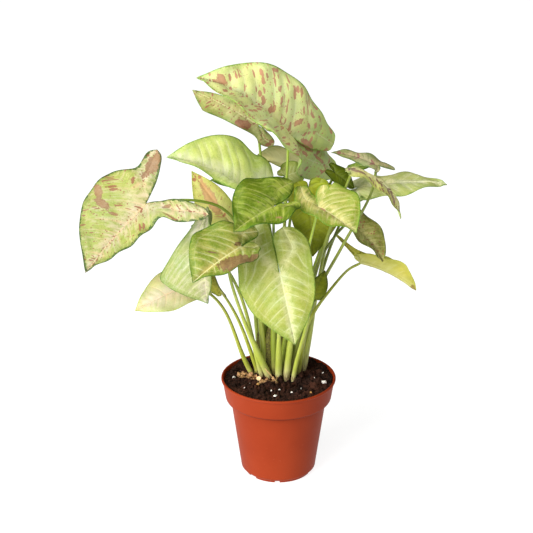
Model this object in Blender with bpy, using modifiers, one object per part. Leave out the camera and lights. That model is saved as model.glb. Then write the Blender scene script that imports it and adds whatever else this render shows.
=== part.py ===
"""A potted syngonium: a terracotta-coloured nursery pot, its soil and a crown of arrow-shaped leaves.

The origin is on the floor under the middle of the pot, Z is up and -Y is the front.
Sizes are in millimetres and are turned into metres where the meshes are made.

Each leaf is one blade and one stalk. A blade is drawn flat in blade lengths (its joint with the stalk
at 0, its tip at 1, its two lobes behind the joint), then folded along its midrib, curled at its sides
and bent along its length, and last placed between the leaf's joint and its tip.
"""
import math
from collections import namedtuple

import bmesh
import bpy
import numpy as np

MM = 0.001
GAP = 0.35               # room left between two pieces
WELD = 0.01              # points closer than this are one point

# The pot: radii are of its outer side
RIM_RADIUS = 52.5
RIM_HEIGHT = 94.0
LIP = 2.8                # height of the rolled lip at the rim
COLLAR_TOP_RADIUS = 51.2
COLLAR_RADIUS = 48.5
COLLAR_FOOT = 74.5       # height where the collar steps in to the wall
SHOULDER_RADIUS = 43.5
SHOULDER = 71.5          # height of the wall's top, under the collar
WALL_FOOT_RADIUS = 34.2
WALL_FOOT = 4.6          # height where the wall rounds in to the foot ring
FOOT_RADIUS = 31.0
FOOT_WIDTH = 2.6
WALL = 1.2
PANEL_UNDER = 2.4        # underside of the raised bottom panel
PANEL_TOP = 3.8
PAD_RADIUS = 8.0         # the flat pad in the panel's middle, which rests on the floor
TURNS = 40               # sides of the pot and soil
DRAIN_HOLES = 6
DRAIN_RADIUS = 2.5
DRAIN_CIRCLE = 19.0
FOOT_NOTCHES = ((-140.0, 8.0), (-92.0, 5.0), (-20.0, 6.0), (90.0, 8.0))  # heading and width
NOTCH_HEIGHT = 1.5

# The soil
SOIL_EDGE = 89.5         # height of the soil where it meets the pot
SOIL_RINGS = (6.0, 15.0, 25.0, 34.0, 43.0)  # radii where the soil's surface has points
MOUND = 4.5              # how far it rises under the stalks
MOUND_MIDDLE = (-2.0, 9.0)
MOUND_SPREAD = 26.0

# The leaves
SKIN = 0.7               # blade thickness
SINUS = 0.005            # half the least gap between two lobes, in blade lengths
LOBE_ROWS = 4            # rows of faces along a lobe
FRONT_ROWS = 6           # rows of faces from the joint to the tip
COLUMNS = 3              # faces across half a blade
STALK_RINGS = 10
STALK_RADII = ((0.0, 2.5), (0.12, 2.3), (0.45, 1.35), (1.0, 1.0))  # by the share of its length
ROOTING = 9.0            # how deep a stalk goes into the soil
JOINT_ROOM = 0.75        # room between a blade's middle and its stalk's end, past the skin
HOLE_RUN = 8.0           # how far a stalk's hole goes on above the soil

# The stub of a stalk that was cut away
CUT_FOOT = (-17.4, -6.8)
CUT_END = (-18.2, -8.6, 95.4)
CUT_RADIUS = 2.4

Half = namedtuple("Half", "width belly waist lobe_length lobe_out lobe_width fold curl unfold",
                  defaults=(0,))
Leaf = namedtuple("Leaf", "name joint tip face bend right left foot lean arrive reach via",
                  defaults=(0.4, ()))

# A half is given in blade lengths and degrees: its greatest width, and where that is along the blade
# (belly); the share of the width that is left beside the joint (waist); how far back and out its lobe
# ends; the lobe's width; how steeply the half rises from the midrib (fold), how far it has turned
# back down at its margin (curl), and how much flatter the lobe is folded (unfold).
# A leaf has its joint and tip, the way its upper side looks (face), how far it bends from joint to tip,
# its halves, where its stalk stands in the soil (foot), the stalk's slope at the soil (lean) and at the
# blade (arrive), how firmly it keeps to them (reach), and the places that a bent stalk passes (via).
LEAVES = (
    Leaf("top", (9, 10, 324), (-71, -8, 382), (0.58, -0.51, 0.64), 52,
         Half(0.39, 0.30, 0.98, 0.48, 0.30, 0.30, 34, 15),
         Half(0.40, 0.30, 0.90, 0.80, -0.26, 0.34, 32, 10, 40), (-2, 8.5), 87, 88),
    Leaf("behind_top", (-19, 35, 325), (-77, 45, 354), (0.0, -0.8, 0.6), 30,
         Half(0.14, 0.30, 0.93, 0.30, 0.10, 0.20, 35, 20),
         Half(0.19, 0.66, 0.80, 0.34, 0.12, 0.20, 0, 25), (-3.5, 15), 86, 80),
    Leaf("left_pale", (-34, -15, 285), (-97, -28, 317), (0.40, -0.55, 0.72), 48,
         Half(0.49, 0.25, 0.93, 0.40, 0.38, 0.42, 32, 25),
         Half(0.20, 0.25, 0.93, 0.25, 0.50, 0.20, 50, 55), (-11, 3.5), 82, 75),
    Leaf("far_left", (-117, -20, 270), (-169, -45, 216), (-0.32, -0.72, 0.61), 15,
         Half(0.56, 0.27, 0.95, 0.54, 0.34, 0.28, 25, 15),
         Half(0.31, 0.20, 1.05, 0.37, 0.70, 0.26, 24, 18), (-15, 11.5), 70, -5, 0.4,
         ((-24, 2, 190), (-33, -5, 236), (-47, -9, 260), (-66, -13, 270), (-90, -17, 273))),
    Leaf("heart", (-5, -45, 278), (-39, -74, 266), (0.07, -0.45, 0.89), 20,
         Half(0.70, 0.25, 0.95, 0.70, 0.26, 0.48, 30, 15),
         Half(0.56, 0.15, 0.95, 0.42, 0.25, 0.42, 30, 20), (-4.5, 2), 84, 35, 0.3),
    Leaf("right_lime", (34, -40, 276), (66, -64, 261), (0.0, -0.53, 0.85), 20,
         Half(0.40, 0.10, 0.90, 0.72, -0.26, 0.46, 28, 20, 25),
         Half(0.64, 0.45, 0.93, 0.20, 0.45, 0.32, 28, 20), (7, -3.5), 82, 72),
    Leaf("front", (1, -50, 217), (14, -74, 160), (0.05, -1.0, 0.45), 25,
         Half(0.585, 0.12, 1.00, 0.84, 0.16, 0.56, 6, 20),
         Half(0.46, 0.12, 1.00, 0.64, 0.17, 0.54, 6, 20), (0, -4), 80, 62, 0.45),
    Leaf("left_brown", (-33, -58, 246), (-74, -88, 225), (0.0, -0.575, 0.815), 25,
         Half(0.57, 0.45, 0.85, 0.42, 0.06, 0.34, 26, 15),
         Half(0.40, 0.15, 1.00, 0.20, 0.20, 0.32, 26, 15), (-8, -4), 78, 35, 0.4,
         ((-30, -18, 155), (-43, -36, 208), (-41, -48, 228))),
    Leaf("left_low", (-65, -35, 238), (-62, -60, 193), (-0.3, -0.85, 0.4), 30,
         Half(0.80, 0.44, 0.58, 0.66, -0.04, 0.34, 10, 20),
         Half(0.35, 0.30, 1.00, 0.68, 0.02, 0.35, 60, 20), (-15, -1), 74, 45),
    Leaf("bottom_pale", (-78, -10, 190), (-128, -28, 172), (-0.2, -0.7, 0.8), 25,
         Half(0.40, 0.30, 0.93, 0.35, 0.20, 0.30, 10, 20),
         Half(0.32, 0.40, 0.93, 0.35, 0.15, 0.30, 10, 20), (-24, 6), 62, 25),
    Leaf("back_pink", (-42, 14, 237), (-78, 28, 284), (0.0, -1.0, 0.4), 10,
         Half(0.21, 0.40, 0.93, 0.30, 0.08, 0.20, 8, 20),
         Half(0.28, 0.40, 0.93, 0.30, 0.15, 0.25, 8, 20), (-14.5, 18), 80, 55),
    Leaf("long_right", (73, 24, 270), (150, 20, 274), (-0.05, 0.13, 1.0), 18,
         Half(0.36, 0.35, 0.93, 0.15, 0.40, 0.25, 0, 25),
         Half(0.34, 0.50, 0.93, 0.14, 0.20, 0.30, 10, 10), (17, 15.5), 74, 58),
    Leaf("droop_pink", (64, -33, 308), (105, -47, 267), (0.7, 0.03, 0.71), 72,
         Half(0.28, 0.40, 0.93, 0.10, 0.14, 0.22, 0, 20),
         Half(0.22, 0.50, 0.93, 0.08, 0.10, 0.20, 0, 20), (9.5, 3), 76, 68),
    Leaf("up_right", (86, 2, 299), (46, 18, 305), (0.0, -0.3, 0.9), 30,
         Half(0.24, 0.30, 0.93, 0.36, 0.14, 0.18, 0, 20),
         Half(0.16, 0.30, 0.93, 0.10, 0.12, 0.20, 0, 20), (16, 10), 74, 62, 0.4,
         ((31, 6, 165), (55, -11, 225), (79, -13, 274))),
    Leaf("right_mid", (62, 6, 244), (93, -6, 210), (0.51, -0.54, 0.66), 30,
         Half(0.30, 0.30, 0.93, 0.30, 0.20, 0.30, 34, 20),
         Half(0.36, 0.50, 0.93, 0.35, 0.20, 0.35, 30, 20), (9.5, 12.5), 72, 48),
    Leaf("yellow", (74, 10, 203), (124, 0, 180), (0.4, 0.1, 0.9), 30,
         Half(0.26, 0.56, 0.62, 0.12, 0.10, 0.14, 75, 10),
         Half(0.22, 0.40, 0.80, 0.50, 0.40, 0.08, 60, 10), (17.5, 3), 70, 30, 0.4,
         ((25, -6, 144), (33, -2, 161), (44, 2, 176), (61, 8, 195))),
    Leaf("back_olive", (16, 50, 281), (-22, 62, 284), (-0.1, 0.85, 0.5), 20,
         Half(0.22, 0.25, 0.93, 0.30, 0.15, 0.25, 10, 20),
         Half(0.52, 0.40, 0.93, 0.30, 0.25, 0.35, 10, 20), (-1, 21.8), 84, 78),
    Leaf("back_tip", (6, 26, 280), (27, 32, 284), (0.0, -0.8, 0.6), 20,
         Half(0.55, 0.25, 0.93, 0.30, 0.20, 0.30, 10, 20),
         Half(0.55, 0.25, 0.93, 0.30, 0.20, 0.30, 10, 20), (3, 15.5), 88, 85),
    Leaf("low_left", (-33, 8, 280), (-61, 9, 282), (0.0, -0.3, 0.95), 20,
         Half(0.38, 0.25, 0.93, 0.30, 0.20, 0.30, 10, 20),
         Half(0.38, 0.25, 0.93, 0.30, 0.20, 0.30, 10, 20), (-8.5, 9.8), 86, 80),
    Leaf("dark_right", (50, 9, 289), (67, 9, 274), (0.1, -0.6, 0.8), 20,
         Half(0.40, 0.25, 0.93, 0.40, 0.20, 0.30, 10, 20),
         Half(0.40, 0.25, 0.93, 0.40, 0.20, 0.30, 10, 20), (4, 8.5), 76, 66),
    Leaf("right_band", (63, 20, 289), (88, 23, 292), (0.0, -0.2, 0.95), 20,
         Half(0.26, 0.30, 0.93, 0.08, 0.14, 0.20, 10, 20),
         Half(0.26, 0.30, 0.93, 0.08, 0.14, 0.20, 10, 20), (22, 10.5), 80, 70),
    Leaf("middle_olive", (26, -2, 279), (30, -14, 218), (0.1, -1.0, -0.1), 12,
         Half(0.30, 0.25, 0.93, 0.10, 0.16, 0.25, 10, 20),
         Half(0.46, 0.25, 0.93, 0.12, 0.20, 0.30, 10, 20), (2.5, 2.5), 84, 84),
    Leaf("small_dark", (30, -25, 187), (41, -18, 207), (0.2, -0.9, 0.4), 40,
         Half(0.40, 0.30, 0.93, 0.25, 0.15, 0.22, 30, 20),
         Half(0.30, 0.30, 0.93, 0.25, 0.15, 0.22, 30, 20), (13.5, -3.5), 78, 80),
    Leaf("curled_left", (-52, -24, 189), (-59, -28, 213), (-0.6, -0.8, 0.0), 40,
         Half(0.30, 0.30, 0.93, 0.25, 0.15, 0.22, 30, 20),
         Half(0.30, 0.30, 0.93, 0.25, 0.15, 0.22, 30, 20), (-17.8, 5.5), 68, 55),
    Leaf("rear_left", (-46, 58, 220), (-80, 92, 202), (-0.2, 0.3, 0.9), 30,
         Half(0.48, 0.25, 0.93, 0.45, 0.25, 0.35, 15, 20),
         Half(0.48, 0.25, 0.93, 0.45, 0.25, 0.35, 15, 20), (-8, 19.5), 76, 60),
    Leaf("rear", (-12, 78, 236), (-18, 126, 210), (0.0, 0.6, 0.8), 30,
         Half(0.46, 0.25, 0.93, 0.36, 0.25, 0.34, 15, 20),
         Half(0.46, 0.25, 0.93, 0.36, 0.25, 0.34, 15, 20), (6, 22), 78, 55),
    Leaf("rear_right", (50, 62, 223), (92, 94, 201), (0.3, 0.3, 0.9), 30,
         Half(0.48, 0.25, 0.93, 0.45, 0.25, 0.35, 15, 20),
         Half(0.48, 0.25, 0.93, 0.45, 0.25, 0.35, 15, 20), (12.5, 19.5), 74, 50),
)


def smooth(x):
    """Ease from 0 to 1."""
    x = np.clip(x, 0.0, 1.0)
    return x * x * (3.0 - 2.0 * x)


def spaced(line, count):
    """The same line with count + 1 points, evenly spaced along it."""
    steps = np.linalg.norm(np.diff(line, axis=0), axis=1)
    walked = np.concatenate([[0.0], np.cumsum(steps)])
    stops = np.linspace(0.0, walked[-1], count + 1)
    return np.stack([np.interp(stops, walked, line[:, k]) for k in range(line.shape[1])], axis=-1)


def curve_through(points, fine=24):
    """A smooth (Catmull-Rom) line through the points."""
    p = np.asarray(points, dtype=float)
    p = np.vstack([2 * p[0] - p[1], p, 2 * p[-1] - p[-2]])
    t = np.linspace(0.0, 1.0, fine + 1)[:-1, None]
    spans = []
    for a, b, c, d in zip(p, p[1:], p[2:], p[3:]):
        spans.append(0.5 * (2 * b + (c - a) * t + (2 * a - 5 * b + 4 * c - d) * t ** 2
                            + (3 * b - a - 3 * c + d) * t ** 3))
    return np.vstack(spans + [p[-2:-1]])


def flat_half(half):
    """Half a blade laid flat: how far across and along each grid point is, in blade lengths."""
    root = np.array([0.5 * half.lobe_width, 0.0])
    end = np.array([half.lobe_out, -half.lobe_length])
    along = (end - root) / np.linalg.norm(end - root)
    outward = np.array([-along[1], along[0]])

    def on_lobe(share, side):
        return root + (end - root) * share + outward * side * half.lobe_width

    w, b, rest = half.width, half.belly, 1.0 - half.belly
    margin = curve_through([
        end, on_lobe(0.88, 0.30), on_lobe(0.5, 0.5), (w * half.waist, 0.0), (w, b),
        (0.84 * w, b + 0.36 * rest), (0.47 * w, b + 0.68 * rest), (0.14 * w, b + 0.90 * rest), (0.0, 1.0)])
    shoulder = 3 * (len(margin) - 1) // 8
    margin = np.vstack([spaced(margin[:shoulder + 1], LOBE_ROWS),
                        spaced(margin[shoulder:], FRONT_ROWS)[1:]])
    inside = [on_lobe(0.88, -0.30), on_lobe(0.45, -0.5)]
    if half.lobe_out >= 0.0:
        inside = [(max(x, SINUS), y) for x, y in inside]
    notch = curve_through([end, *inside, (0.014, -0.03), (0.0, 0.0)])
    midrib = np.stack([np.zeros(FRONT_ROWS + 1), np.linspace(0.0, 1.0, FRONT_ROWS + 1)], axis=-1)
    inner = np.vstack([spaced(notch, LOBE_ROWS), midrib[1:]])
    share = np.linspace(0.0, 1.0, COLUMNS + 1)[None, :, None]
    grid = inner[:, None, :] * (1.0 - share) + margin[:, None, :] * share
    return grid[..., 0], grid[..., 1]


def leaf_frame(leaf):
    """The blade's length and its right, forward and up directions."""
    joint, tip = np.array(leaf.joint, float), np.array(leaf.tip, float)
    chord = np.linalg.norm(tip - joint)
    bend = math.radians(leaf.bend)
    forward = (tip - joint) / chord
    up = np.array(leaf.face, float)
    up -= up.dot(forward) * forward
    up /= np.linalg.norm(up)
    return chord * (bend / 2) / math.sin(bend / 2), np.cross(forward, up), forward, up


def half_blade(leaf, half, side):
    """Places one half of a blade: side is 1 for the right half and -1 for the left."""
    length, right, forward, up = leaf_frame(leaf)
    across, along = flat_half(half)
    bend, curl = math.radians(leaf.bend), math.radians(half.curl)
    behind = smooth(np.clip(-along, 0, None) / (0.45 * half.lobe_length))
    fold = np.radians(half.fold - half.unfold * behind)
    turn = fold - curl * across / half.width
    out = (half.width / curl) * (np.sin(fold) - np.sin(turn))
    rise = (half.width / curl) * (np.cos(turn) - np.cos(fold))
    tilt = bend * np.clip(along, 0, None)
    ahead = np.where(along > 0, np.sin(tilt) / bend, along) + rise * np.sin(tilt)
    height = -(1 - np.cos(tilt)) / bend + rise * np.cos(tilt)
    slope = bend / 2
    ahead, height = (ahead * math.cos(slope) - height * math.sin(slope),
                     ahead * math.sin(slope) + height * math.cos(slope))
    place = side * out[..., None] * right + ahead[..., None] * forward + height[..., None] * up
    return np.array(leaf.joint) + length * place


def mound(x, y):
    """Height of the soil's surface."""
    far2 = (x - MOUND_MIDDLE[0]) ** 2 + (y - MOUND_MIDDLE[1]) ** 2
    return SOIL_EDGE + MOUND * math.exp(-far2 / (2 * MOUND_SPREAD ** 2))


def stalk_route(leaf):
    """Points along a stalk from the soil's surface to just under the blade's joint."""
    foot = np.array([*leaf.foot, mound(*leaf.foot)])
    joint = np.array(leaf.joint, float)
    heading = (joint - foot)[:2]
    heading /= np.linalg.norm(heading)
    lean, arrive = math.radians(leaf.lean), math.radians(leaf.arrive)
    start = np.array([*(heading * math.cos(lean)), math.sin(lean)])
    finish = np.array([*(heading * math.cos(arrive)), math.sin(arrive)])
    up = leaf_frame(leaf)[3]
    radius = STALK_RADII[-1][1]
    joint = joint - up * (SKIN / 2 + JOINT_ROOM + radius * math.sqrt(max(0.0, 1 - finish.dot(up) ** 2)))
    if leaf.via:
        return curve_through([foot, *leaf.via, joint])
    arm = leaf.reach * np.linalg.norm(joint - foot)
    t = np.linspace(0.0, 1.0, 65)[:, None]
    return ((1 - t) ** 3 * foot + 3 * (1 - t) ** 2 * t * (foot + arm * start)
            + 3 * (1 - t) * t ** 2 * (joint - arm * finish) + t ** 3 * joint)


def clear_scene():
    for thing in list(bpy.context.scene.objects):
        bpy.data.objects.remove(thing)


def new_collection(name):
    collection = bpy.data.collections.new(name)
    bpy.context.scene.collection.children.link(collection)
    return collection


def material(name, colour, roughness, metallic=0.0):
    made = bpy.data.materials.new(name)
    made.use_nodes = True
    shader = made.node_tree.nodes["Principled BSDF"]
    shader.inputs["Base Color"].default_value = (*colour, 1.0)
    shader.inputs["Roughness"].default_value = roughness
    shader.inputs["Metallic"].default_value = metallic
    made.diffuse_color = (*colour, 1.0)
    return made


def add_object(name, data, collection, look=None):
    thing = bpy.data.objects.new(name, data)
    collection.objects.link(thing)
    if look:
        data.materials.clear()
        data.materials.append(look)
    return thing


def shade_round(data):
    """Smooth shading, with the true edges left sharp."""
    data.shade_smooth()
    data.set_sharp_from_angle(angle=math.radians(40))


def as_mesh(thing):
    """Turns an object with modifiers, or a curve, into a plain welded mesh object."""
    shape = bpy.context.evaluated_depsgraph_get()
    shape.update()
    data = bpy.data.meshes.new_from_object(thing.evaluated_get(shape))
    name, collection, place = thing.name, thing.users_collection[0], thing.matrix_world.copy()
    looks = list(thing.data.materials)
    bpy.data.objects.remove(thing)
    edit = bmesh.new()
    edit.from_mesh(data)
    bmesh.ops.remove_doubles(edit, verts=edit.verts, dist=WELD * MM)
    edit.to_mesh(data)
    edit.free()
    shade_round(data)
    solid = add_object(name, data, collection, looks[0] if looks else None)
    solid.matrix_world = place
    return solid


def turned(name, profile, collection, look, turns=TURNS):
    """A profile of (radius, height) points turned round the Z axis, given down its outer side."""
    data = bpy.data.meshes.new(name)
    data.from_pydata([(r * MM, 0.0, z * MM) for r, z in profile],
                     [(k, k + 1) for k in range(len(profile) - 1)], [])
    thing = add_object(name, data, collection, look)
    screw = thing.modifiers.new("turn", "SCREW")
    screw.steps = screw.render_steps = turns
    screw.use_merge_vertices = True
    screw.merge_threshold = WELD * MM
    return thing


def tube(name, route, radii, collection, look):
    """A round stalk along a route, with a radius (mm) at each point."""
    curve = bpy.data.curves.new(name, "CURVE")
    curve.dimensions = "3D"
    curve.bevel_depth = MM
    curve.bevel_resolution = 2
    curve.use_fill_caps = True
    line = curve.splines.new("POLY")
    line.points.add(len(route) - 1)
    for point, place, radius in zip(line.points, route, radii):
        point.co = (*(np.array(place) * MM), 1.0)
        point.radius = radius
    return add_object(name, curve, collection, look)


def cut(thing, cutter):
    """Takes the cutter's shape out of the thing."""
    cutter.hide_render = True
    cutter.display_type = "WIRE"
    boolean = thing.modifiers.new("cut", "BOOLEAN")
    boolean.operation = "DIFFERENCE"
    boolean.object = cutter


def cylinder(name, radius, low, high, place, collection, sides=24):
    edit = bmesh.new()
    bmesh.ops.create_cone(edit, cap_ends=True, segments=sides, radius1=radius * MM, radius2=radius * MM,
                          depth=(high - low) * MM)
    data = bpy.data.meshes.new(name)
    edit.to_mesh(data)
    edit.free()
    thing = add_object(name, data, collection)
    thing.location = (place[0] * MM, place[1] * MM, (low + high) / 2 * MM)
    return thing


def pot_inside(height):
    """The pot's inside radius at a height, by its wall and collar."""
    heights = (PANEL_TOP, SHOULDER, COLLAR_FOOT, RIM_HEIGHT - LIP)
    radii = (WALL_FOOT_RADIUS - WALL, SHOULDER_RADIUS - WALL, COLLAR_RADIUS - WALL, COLLAR_TOP_RADIUS - WALL)
    return float(np.interp(height, heights, radii))


def pot_profile():
    """The pot's closed outline, from its rim down the outside, under the bottom and up the inside."""
    lip = [(RIM_RADIUS - 1.0, RIM_HEIGHT), (RIM_RADIUS - 0.3, RIM_HEIGHT - 0.3),
           (RIM_RADIUS, RIM_HEIGHT - 0.35 * LIP), (RIM_RADIUS - 0.3, RIM_HEIGHT - 0.7 * LIP),
           (COLLAR_TOP_RADIUS, RIM_HEIGHT - LIP)]
    collar = [(COLLAR_RADIUS, COLLAR_FOOT), (COLLAR_RADIUS - 0.9, COLLAR_FOOT - 1.4),
              (SHOULDER_RADIUS, SHOULDER)]
    wall = [(WALL_FOOT_RADIUS, WALL_FOOT), (WALL_FOOT_RADIUS - 0.6, WALL_FOOT - 1.2),
            (FOOT_RADIUS, PANEL_UNDER), (FOOT_RADIUS, 0.0)]
    underside = [(FOOT_RADIUS - FOOT_WIDTH, 0.0), (FOOT_RADIUS - FOOT_WIDTH, PANEL_UNDER),
                 (PAD_RADIUS + 1.0, PANEL_UNDER), (PAD_RADIUS, 0.0), (0.0, 0.0)]
    inside = [(0.0, PANEL_TOP), (pot_inside(PANEL_TOP) - 1.2, PANEL_TOP), (pot_inside(6.0), 6.0)]
    inside += [(pot_inside(z), z) for z in (SHOULDER, COLLAR_FOOT, RIM_HEIGHT - LIP)]
    inside.append((RIM_RADIUS - 1.9, RIM_HEIGHT - 0.4))
    return lip + collar + wall + underside + inside + lip[:1]


def make_pot(collection, cutters):
    look = material("pot_plastic", (0.56, 0.13, 0.055), 0.42)
    pot = as_mesh(turned("pot", pot_profile(), collection, look))
    for hole in range(DRAIN_HOLES):
        turn = math.tau * (hole + 0.5) / DRAIN_HOLES
        place = (DRAIN_CIRCLE * math.cos(turn), DRAIN_CIRCLE * math.sin(turn))
        cut(pot, cylinder(f"drain_cutter_{hole + 1}", DRAIN_RADIUS, PANEL_UNDER - 2, PANEL_TOP + 2, place,
                          cutters, 12))
    middle = FOOT_RADIUS - FOOT_WIDTH / 2
    for notch, (heading, wide) in enumerate(FOOT_NOTCHES, 1):
        turn = math.radians(heading)
        cut(pot, cylinder(f"foot_cutter_{notch}", wide / 2, -1.0, NOTCH_HEIGHT,
                          (middle * math.cos(turn), middle * math.sin(turn)), cutters, 8))
    return pot


def make_soil(collection, stalk_cutters):
    """The soil fills the pot to under its rim; its surface is raised as a mound under the stalks."""
    look = material("soil_peat", (0.035, 0.019, 0.012), 0.95)
    top = [(r, SOIL_EDGE) for r in (0.0, *SOIL_RINGS)]
    side = [(pot_inside(z) - 1.5 * GAP, z) for z in (SOIL_EDGE, COLLAR_FOOT, SHOULDER, 6.0)]
    bottom = [(FOOT_RADIUS - 1.0, PANEL_TOP + GAP), (0.0, PANEL_TOP + GAP)]
    soil = as_mesh(turned("soil", top + side + bottom, collection, look))
    for vertex in soil.data.vertices:
        x, y, z = (c / MM for c in vertex.co)
        if z > SOIL_EDGE - 1 and math.hypot(x, y) < SOIL_RINGS[-1] + 1:
            vertex.co.z = mound(x, y) * MM
    for cutter in stalk_cutters:
        cut(soil, cutter)
    return soil


def make_blade(leaf, collection, look):
    """Two halves of a blade that share the midrib, given their thickness."""
    rows = LOBE_ROWS + FRONT_ROWS
    edit = bmesh.new()
    for half, side in ((leaf.right, 1.0), (leaf.left, -1.0)):
        places = half_blade(leaf, half, side) * MM
        made = bmesh.ops.create_grid(edit, x_segments=COLUMNS, y_segments=rows, size=1.0)["verts"]
        for vertex in made:
            column = round((vertex.co.x + 1.0) / 2.0 * COLUMNS)
            row = round((vertex.co.y + 1.0) / 2.0 * rows)
            vertex.co = places[row, column]
        if side < 0:
            faces = {face for vertex in made for face in vertex.link_faces}
            bmesh.ops.reverse_faces(edit, faces=list(faces))
    bmesh.ops.remove_doubles(edit, verts=edit.verts, dist=2 * WELD * MM)
    bmesh.ops.dissolve_degenerate(edit, edges=edit.edges, dist=2 * WELD * MM)
    data = bpy.data.meshes.new(f"{leaf.name}_blade")
    edit.to_mesh(data)
    edit.free()
    shade_round(data)
    blade = add_object(f"{leaf.name}_blade", data, collection, look)
    skin = blade.modifiers.new("skin", "SOLIDIFY")
    skin.thickness = SKIN * MM
    skin.offset = 0.0
    return blade


def make_stalk(leaf, collection, cutters, look):
    """A stalk from its root in the soil to its blade; gives the hole that it takes in the soil."""
    route = spaced(stalk_route(leaf), STALK_RINGS)
    onward = (route[1] - route[0]) / np.linalg.norm(route[1] - route[0])
    root = route[0] - np.array([0.0, 0.0, ROOTING])
    shares = np.linspace(0.0, 1.0, STALK_RINGS + 1)
    radii = np.interp(shares, *zip(*STALK_RADII))
    as_mesh(tube(f"{leaf.name}_stalk", [root, *route], [radii[0], *radii], collection, look))
    return soil_hole(f"{leaf.name}_hole_cutter", root, route[0], onward, radii[0], cutters)


def soil_hole(name, root, foot, onward, radius, cutters):
    """A cutter for the soil round a stalk of this radius, from below its root to above the soil."""
    line = [root - np.array([0.0, 0.0, 2 * GAP]), foot, foot + HOLE_RUN * onward]
    return as_mesh(tube(name, line, [radius + GAP] * len(line), cutters, None))


def make_cut_stem(collection, cutters):
    """The pale stub where an old leaf was cut off, with its cut face turned up and to the front."""
    foot, end = np.array([*CUT_FOOT, mound(*CUT_FOOT)]), np.array(CUT_END)
    root = foot - np.array([0.0, 0.0, ROOTING])
    onward = (end - foot) / np.linalg.norm(end - foot)
    look = material("cut_stem_flesh", (0.72, 0.58, 0.33), 0.7)
    as_mesh(tube("cut_stem", [root, foot, end], [CUT_RADIUS] * 3, collection, look))
    return soil_hole("cut_stem_hole_cutter", root, foot, onward, CUT_RADIUS, cutters)


LEAF_COLOURS = {
    "lime": (0.42, 0.58, 0.17), "green": (0.20, 0.36, 0.06), "olive": (0.28, 0.36, 0.12),
    "yellow": (0.62, 0.58, 0.14), "cream": (0.74, 0.70, 0.38), "dark": (0.09, 0.14, 0.03)}
LEAF_SHADES = {
    "heart": "green", "left_brown": "green", "right_mid": "olive", "yellow": "yellow", "bottom_pale": "cream",
    "back_pink": "yellow", "back_olive": "olive", "back_tip": "olive", "low_left": "olive",
    "dark_right": "dark", "middle_olive": "olive", "small_dark": "dark", "curled_left": "dark",
    "rear_left": "green", "rear": "green", "rear_right": "green", "right_band": "green"}
STALK_COLOUR = (0.33, 0.42, 0.10)


def make_plant(collection, cutters):
    """Every leaf and the cut stem; gives the holes that they take in the soil."""
    holes = [make_cut_stem(collection, cutters)]
    for leaf in LEAVES:
        shade = LEAF_COLOURS[LEAF_SHADES.get(leaf.name, "lime")]
        make_blade(leaf, collection, material(f"{leaf.name}_skin", shade, 0.45))
        holes.append(make_stalk(leaf, collection, cutters, material(f"{leaf.name}_stem", STALK_COLOUR, 0.5)))
    return holes


def main():
    clear_scene()
    plant = new_collection("potted_syngonium")
    cutters = new_collection("cutters")
    make_pot(plant, cutters)
    make_soil(plant, make_plant(plant, cutters))


main()
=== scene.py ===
# %% [markdown]
# # A potted syngonium
#
# A syngonium is a house plant of the arum family. Each leaf rises from the crown on a stalk of its own and
# ends in an arrow-shaped blade with two lobes behind the joint. This lesson dresses a plain model of one:
# pot, soil, stalks and blades already have their places and sizes, and every one gets its real surface here.
#
# The plain model comes first, because everything is placed from it.

# %% Load the plain model
import math
from collections import namedtuple

import bmesh
import bpy
import numpy as np
from mathutils import Matrix, Vector, noise


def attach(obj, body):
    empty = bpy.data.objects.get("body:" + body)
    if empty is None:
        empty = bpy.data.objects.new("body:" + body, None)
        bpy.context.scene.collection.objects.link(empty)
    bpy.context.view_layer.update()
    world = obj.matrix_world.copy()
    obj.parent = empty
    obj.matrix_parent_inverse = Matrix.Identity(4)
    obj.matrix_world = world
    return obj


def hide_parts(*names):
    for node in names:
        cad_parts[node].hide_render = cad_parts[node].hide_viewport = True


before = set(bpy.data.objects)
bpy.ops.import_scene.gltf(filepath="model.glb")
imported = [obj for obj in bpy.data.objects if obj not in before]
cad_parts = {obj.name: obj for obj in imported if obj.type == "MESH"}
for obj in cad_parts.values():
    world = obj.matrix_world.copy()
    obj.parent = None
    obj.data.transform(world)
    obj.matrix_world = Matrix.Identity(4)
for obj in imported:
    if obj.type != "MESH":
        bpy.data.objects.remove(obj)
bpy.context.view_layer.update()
MM = 0.001


# %% [markdown]
# ## Camera
#
# A portrait of a house plant is taken from a little above, so that the leaves' upper sides and the soil
# both show. A long lens from a good distance keeps the pot's sides nearly upright.

# %% Place the camera
CAMERA_PLACE = (-0.0110, -1.6178, 0.8831)
CAMERA_DOWN = 22.8       # degrees below the horizon
CAMERA_LENS = 132.4


def add_camera():
    lens = bpy.data.cameras.new("portrait_camera")
    lens.lens = CAMERA_LENS
    lens.sensor_width = 36.0
    camera = bpy.data.objects.new("portrait_camera", lens)
    camera.location = CAMERA_PLACE
    camera.rotation_euler = (math.radians(90.0 - CAMERA_DOWN), 0.0, 0.0)
    bpy.context.scene.collection.objects.link(camera)
    bpy.context.scene.camera = camera
    return camera


print("camera at", tuple(add_camera().location))

# %% [markdown]
# ## Floor and light
#
# A pale floor and soft light from all round keep the greens clean. One large lamp at the left models the pot
# and the folds of the leaves, and a weaker one overhead opens the shadows. The Standard view shows a colour
# as it is mixed, with no film curve over it.

# %% Light the studio
WHITE = (1.0, 1.0, 1.0, 1.0)
AIR_LIGHT = 0.17
LAMPS = (  # name, place, aim, width and watts
    ("window_left", (-1.55, -1.7, 1.05), (0.0, 0.0, 0.2), 1.8, 98.0),
    ("ceiling_panel", (-0.2, -0.9, 2.0), (0.0, 0.0, 0.25), 1.6, 34.0))
FLOOR_GREY = (0.28, 0.28, 0.28, 1.0)
FLOOR_GLOW = 0.86        # keeps the floor as pale as the background


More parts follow.
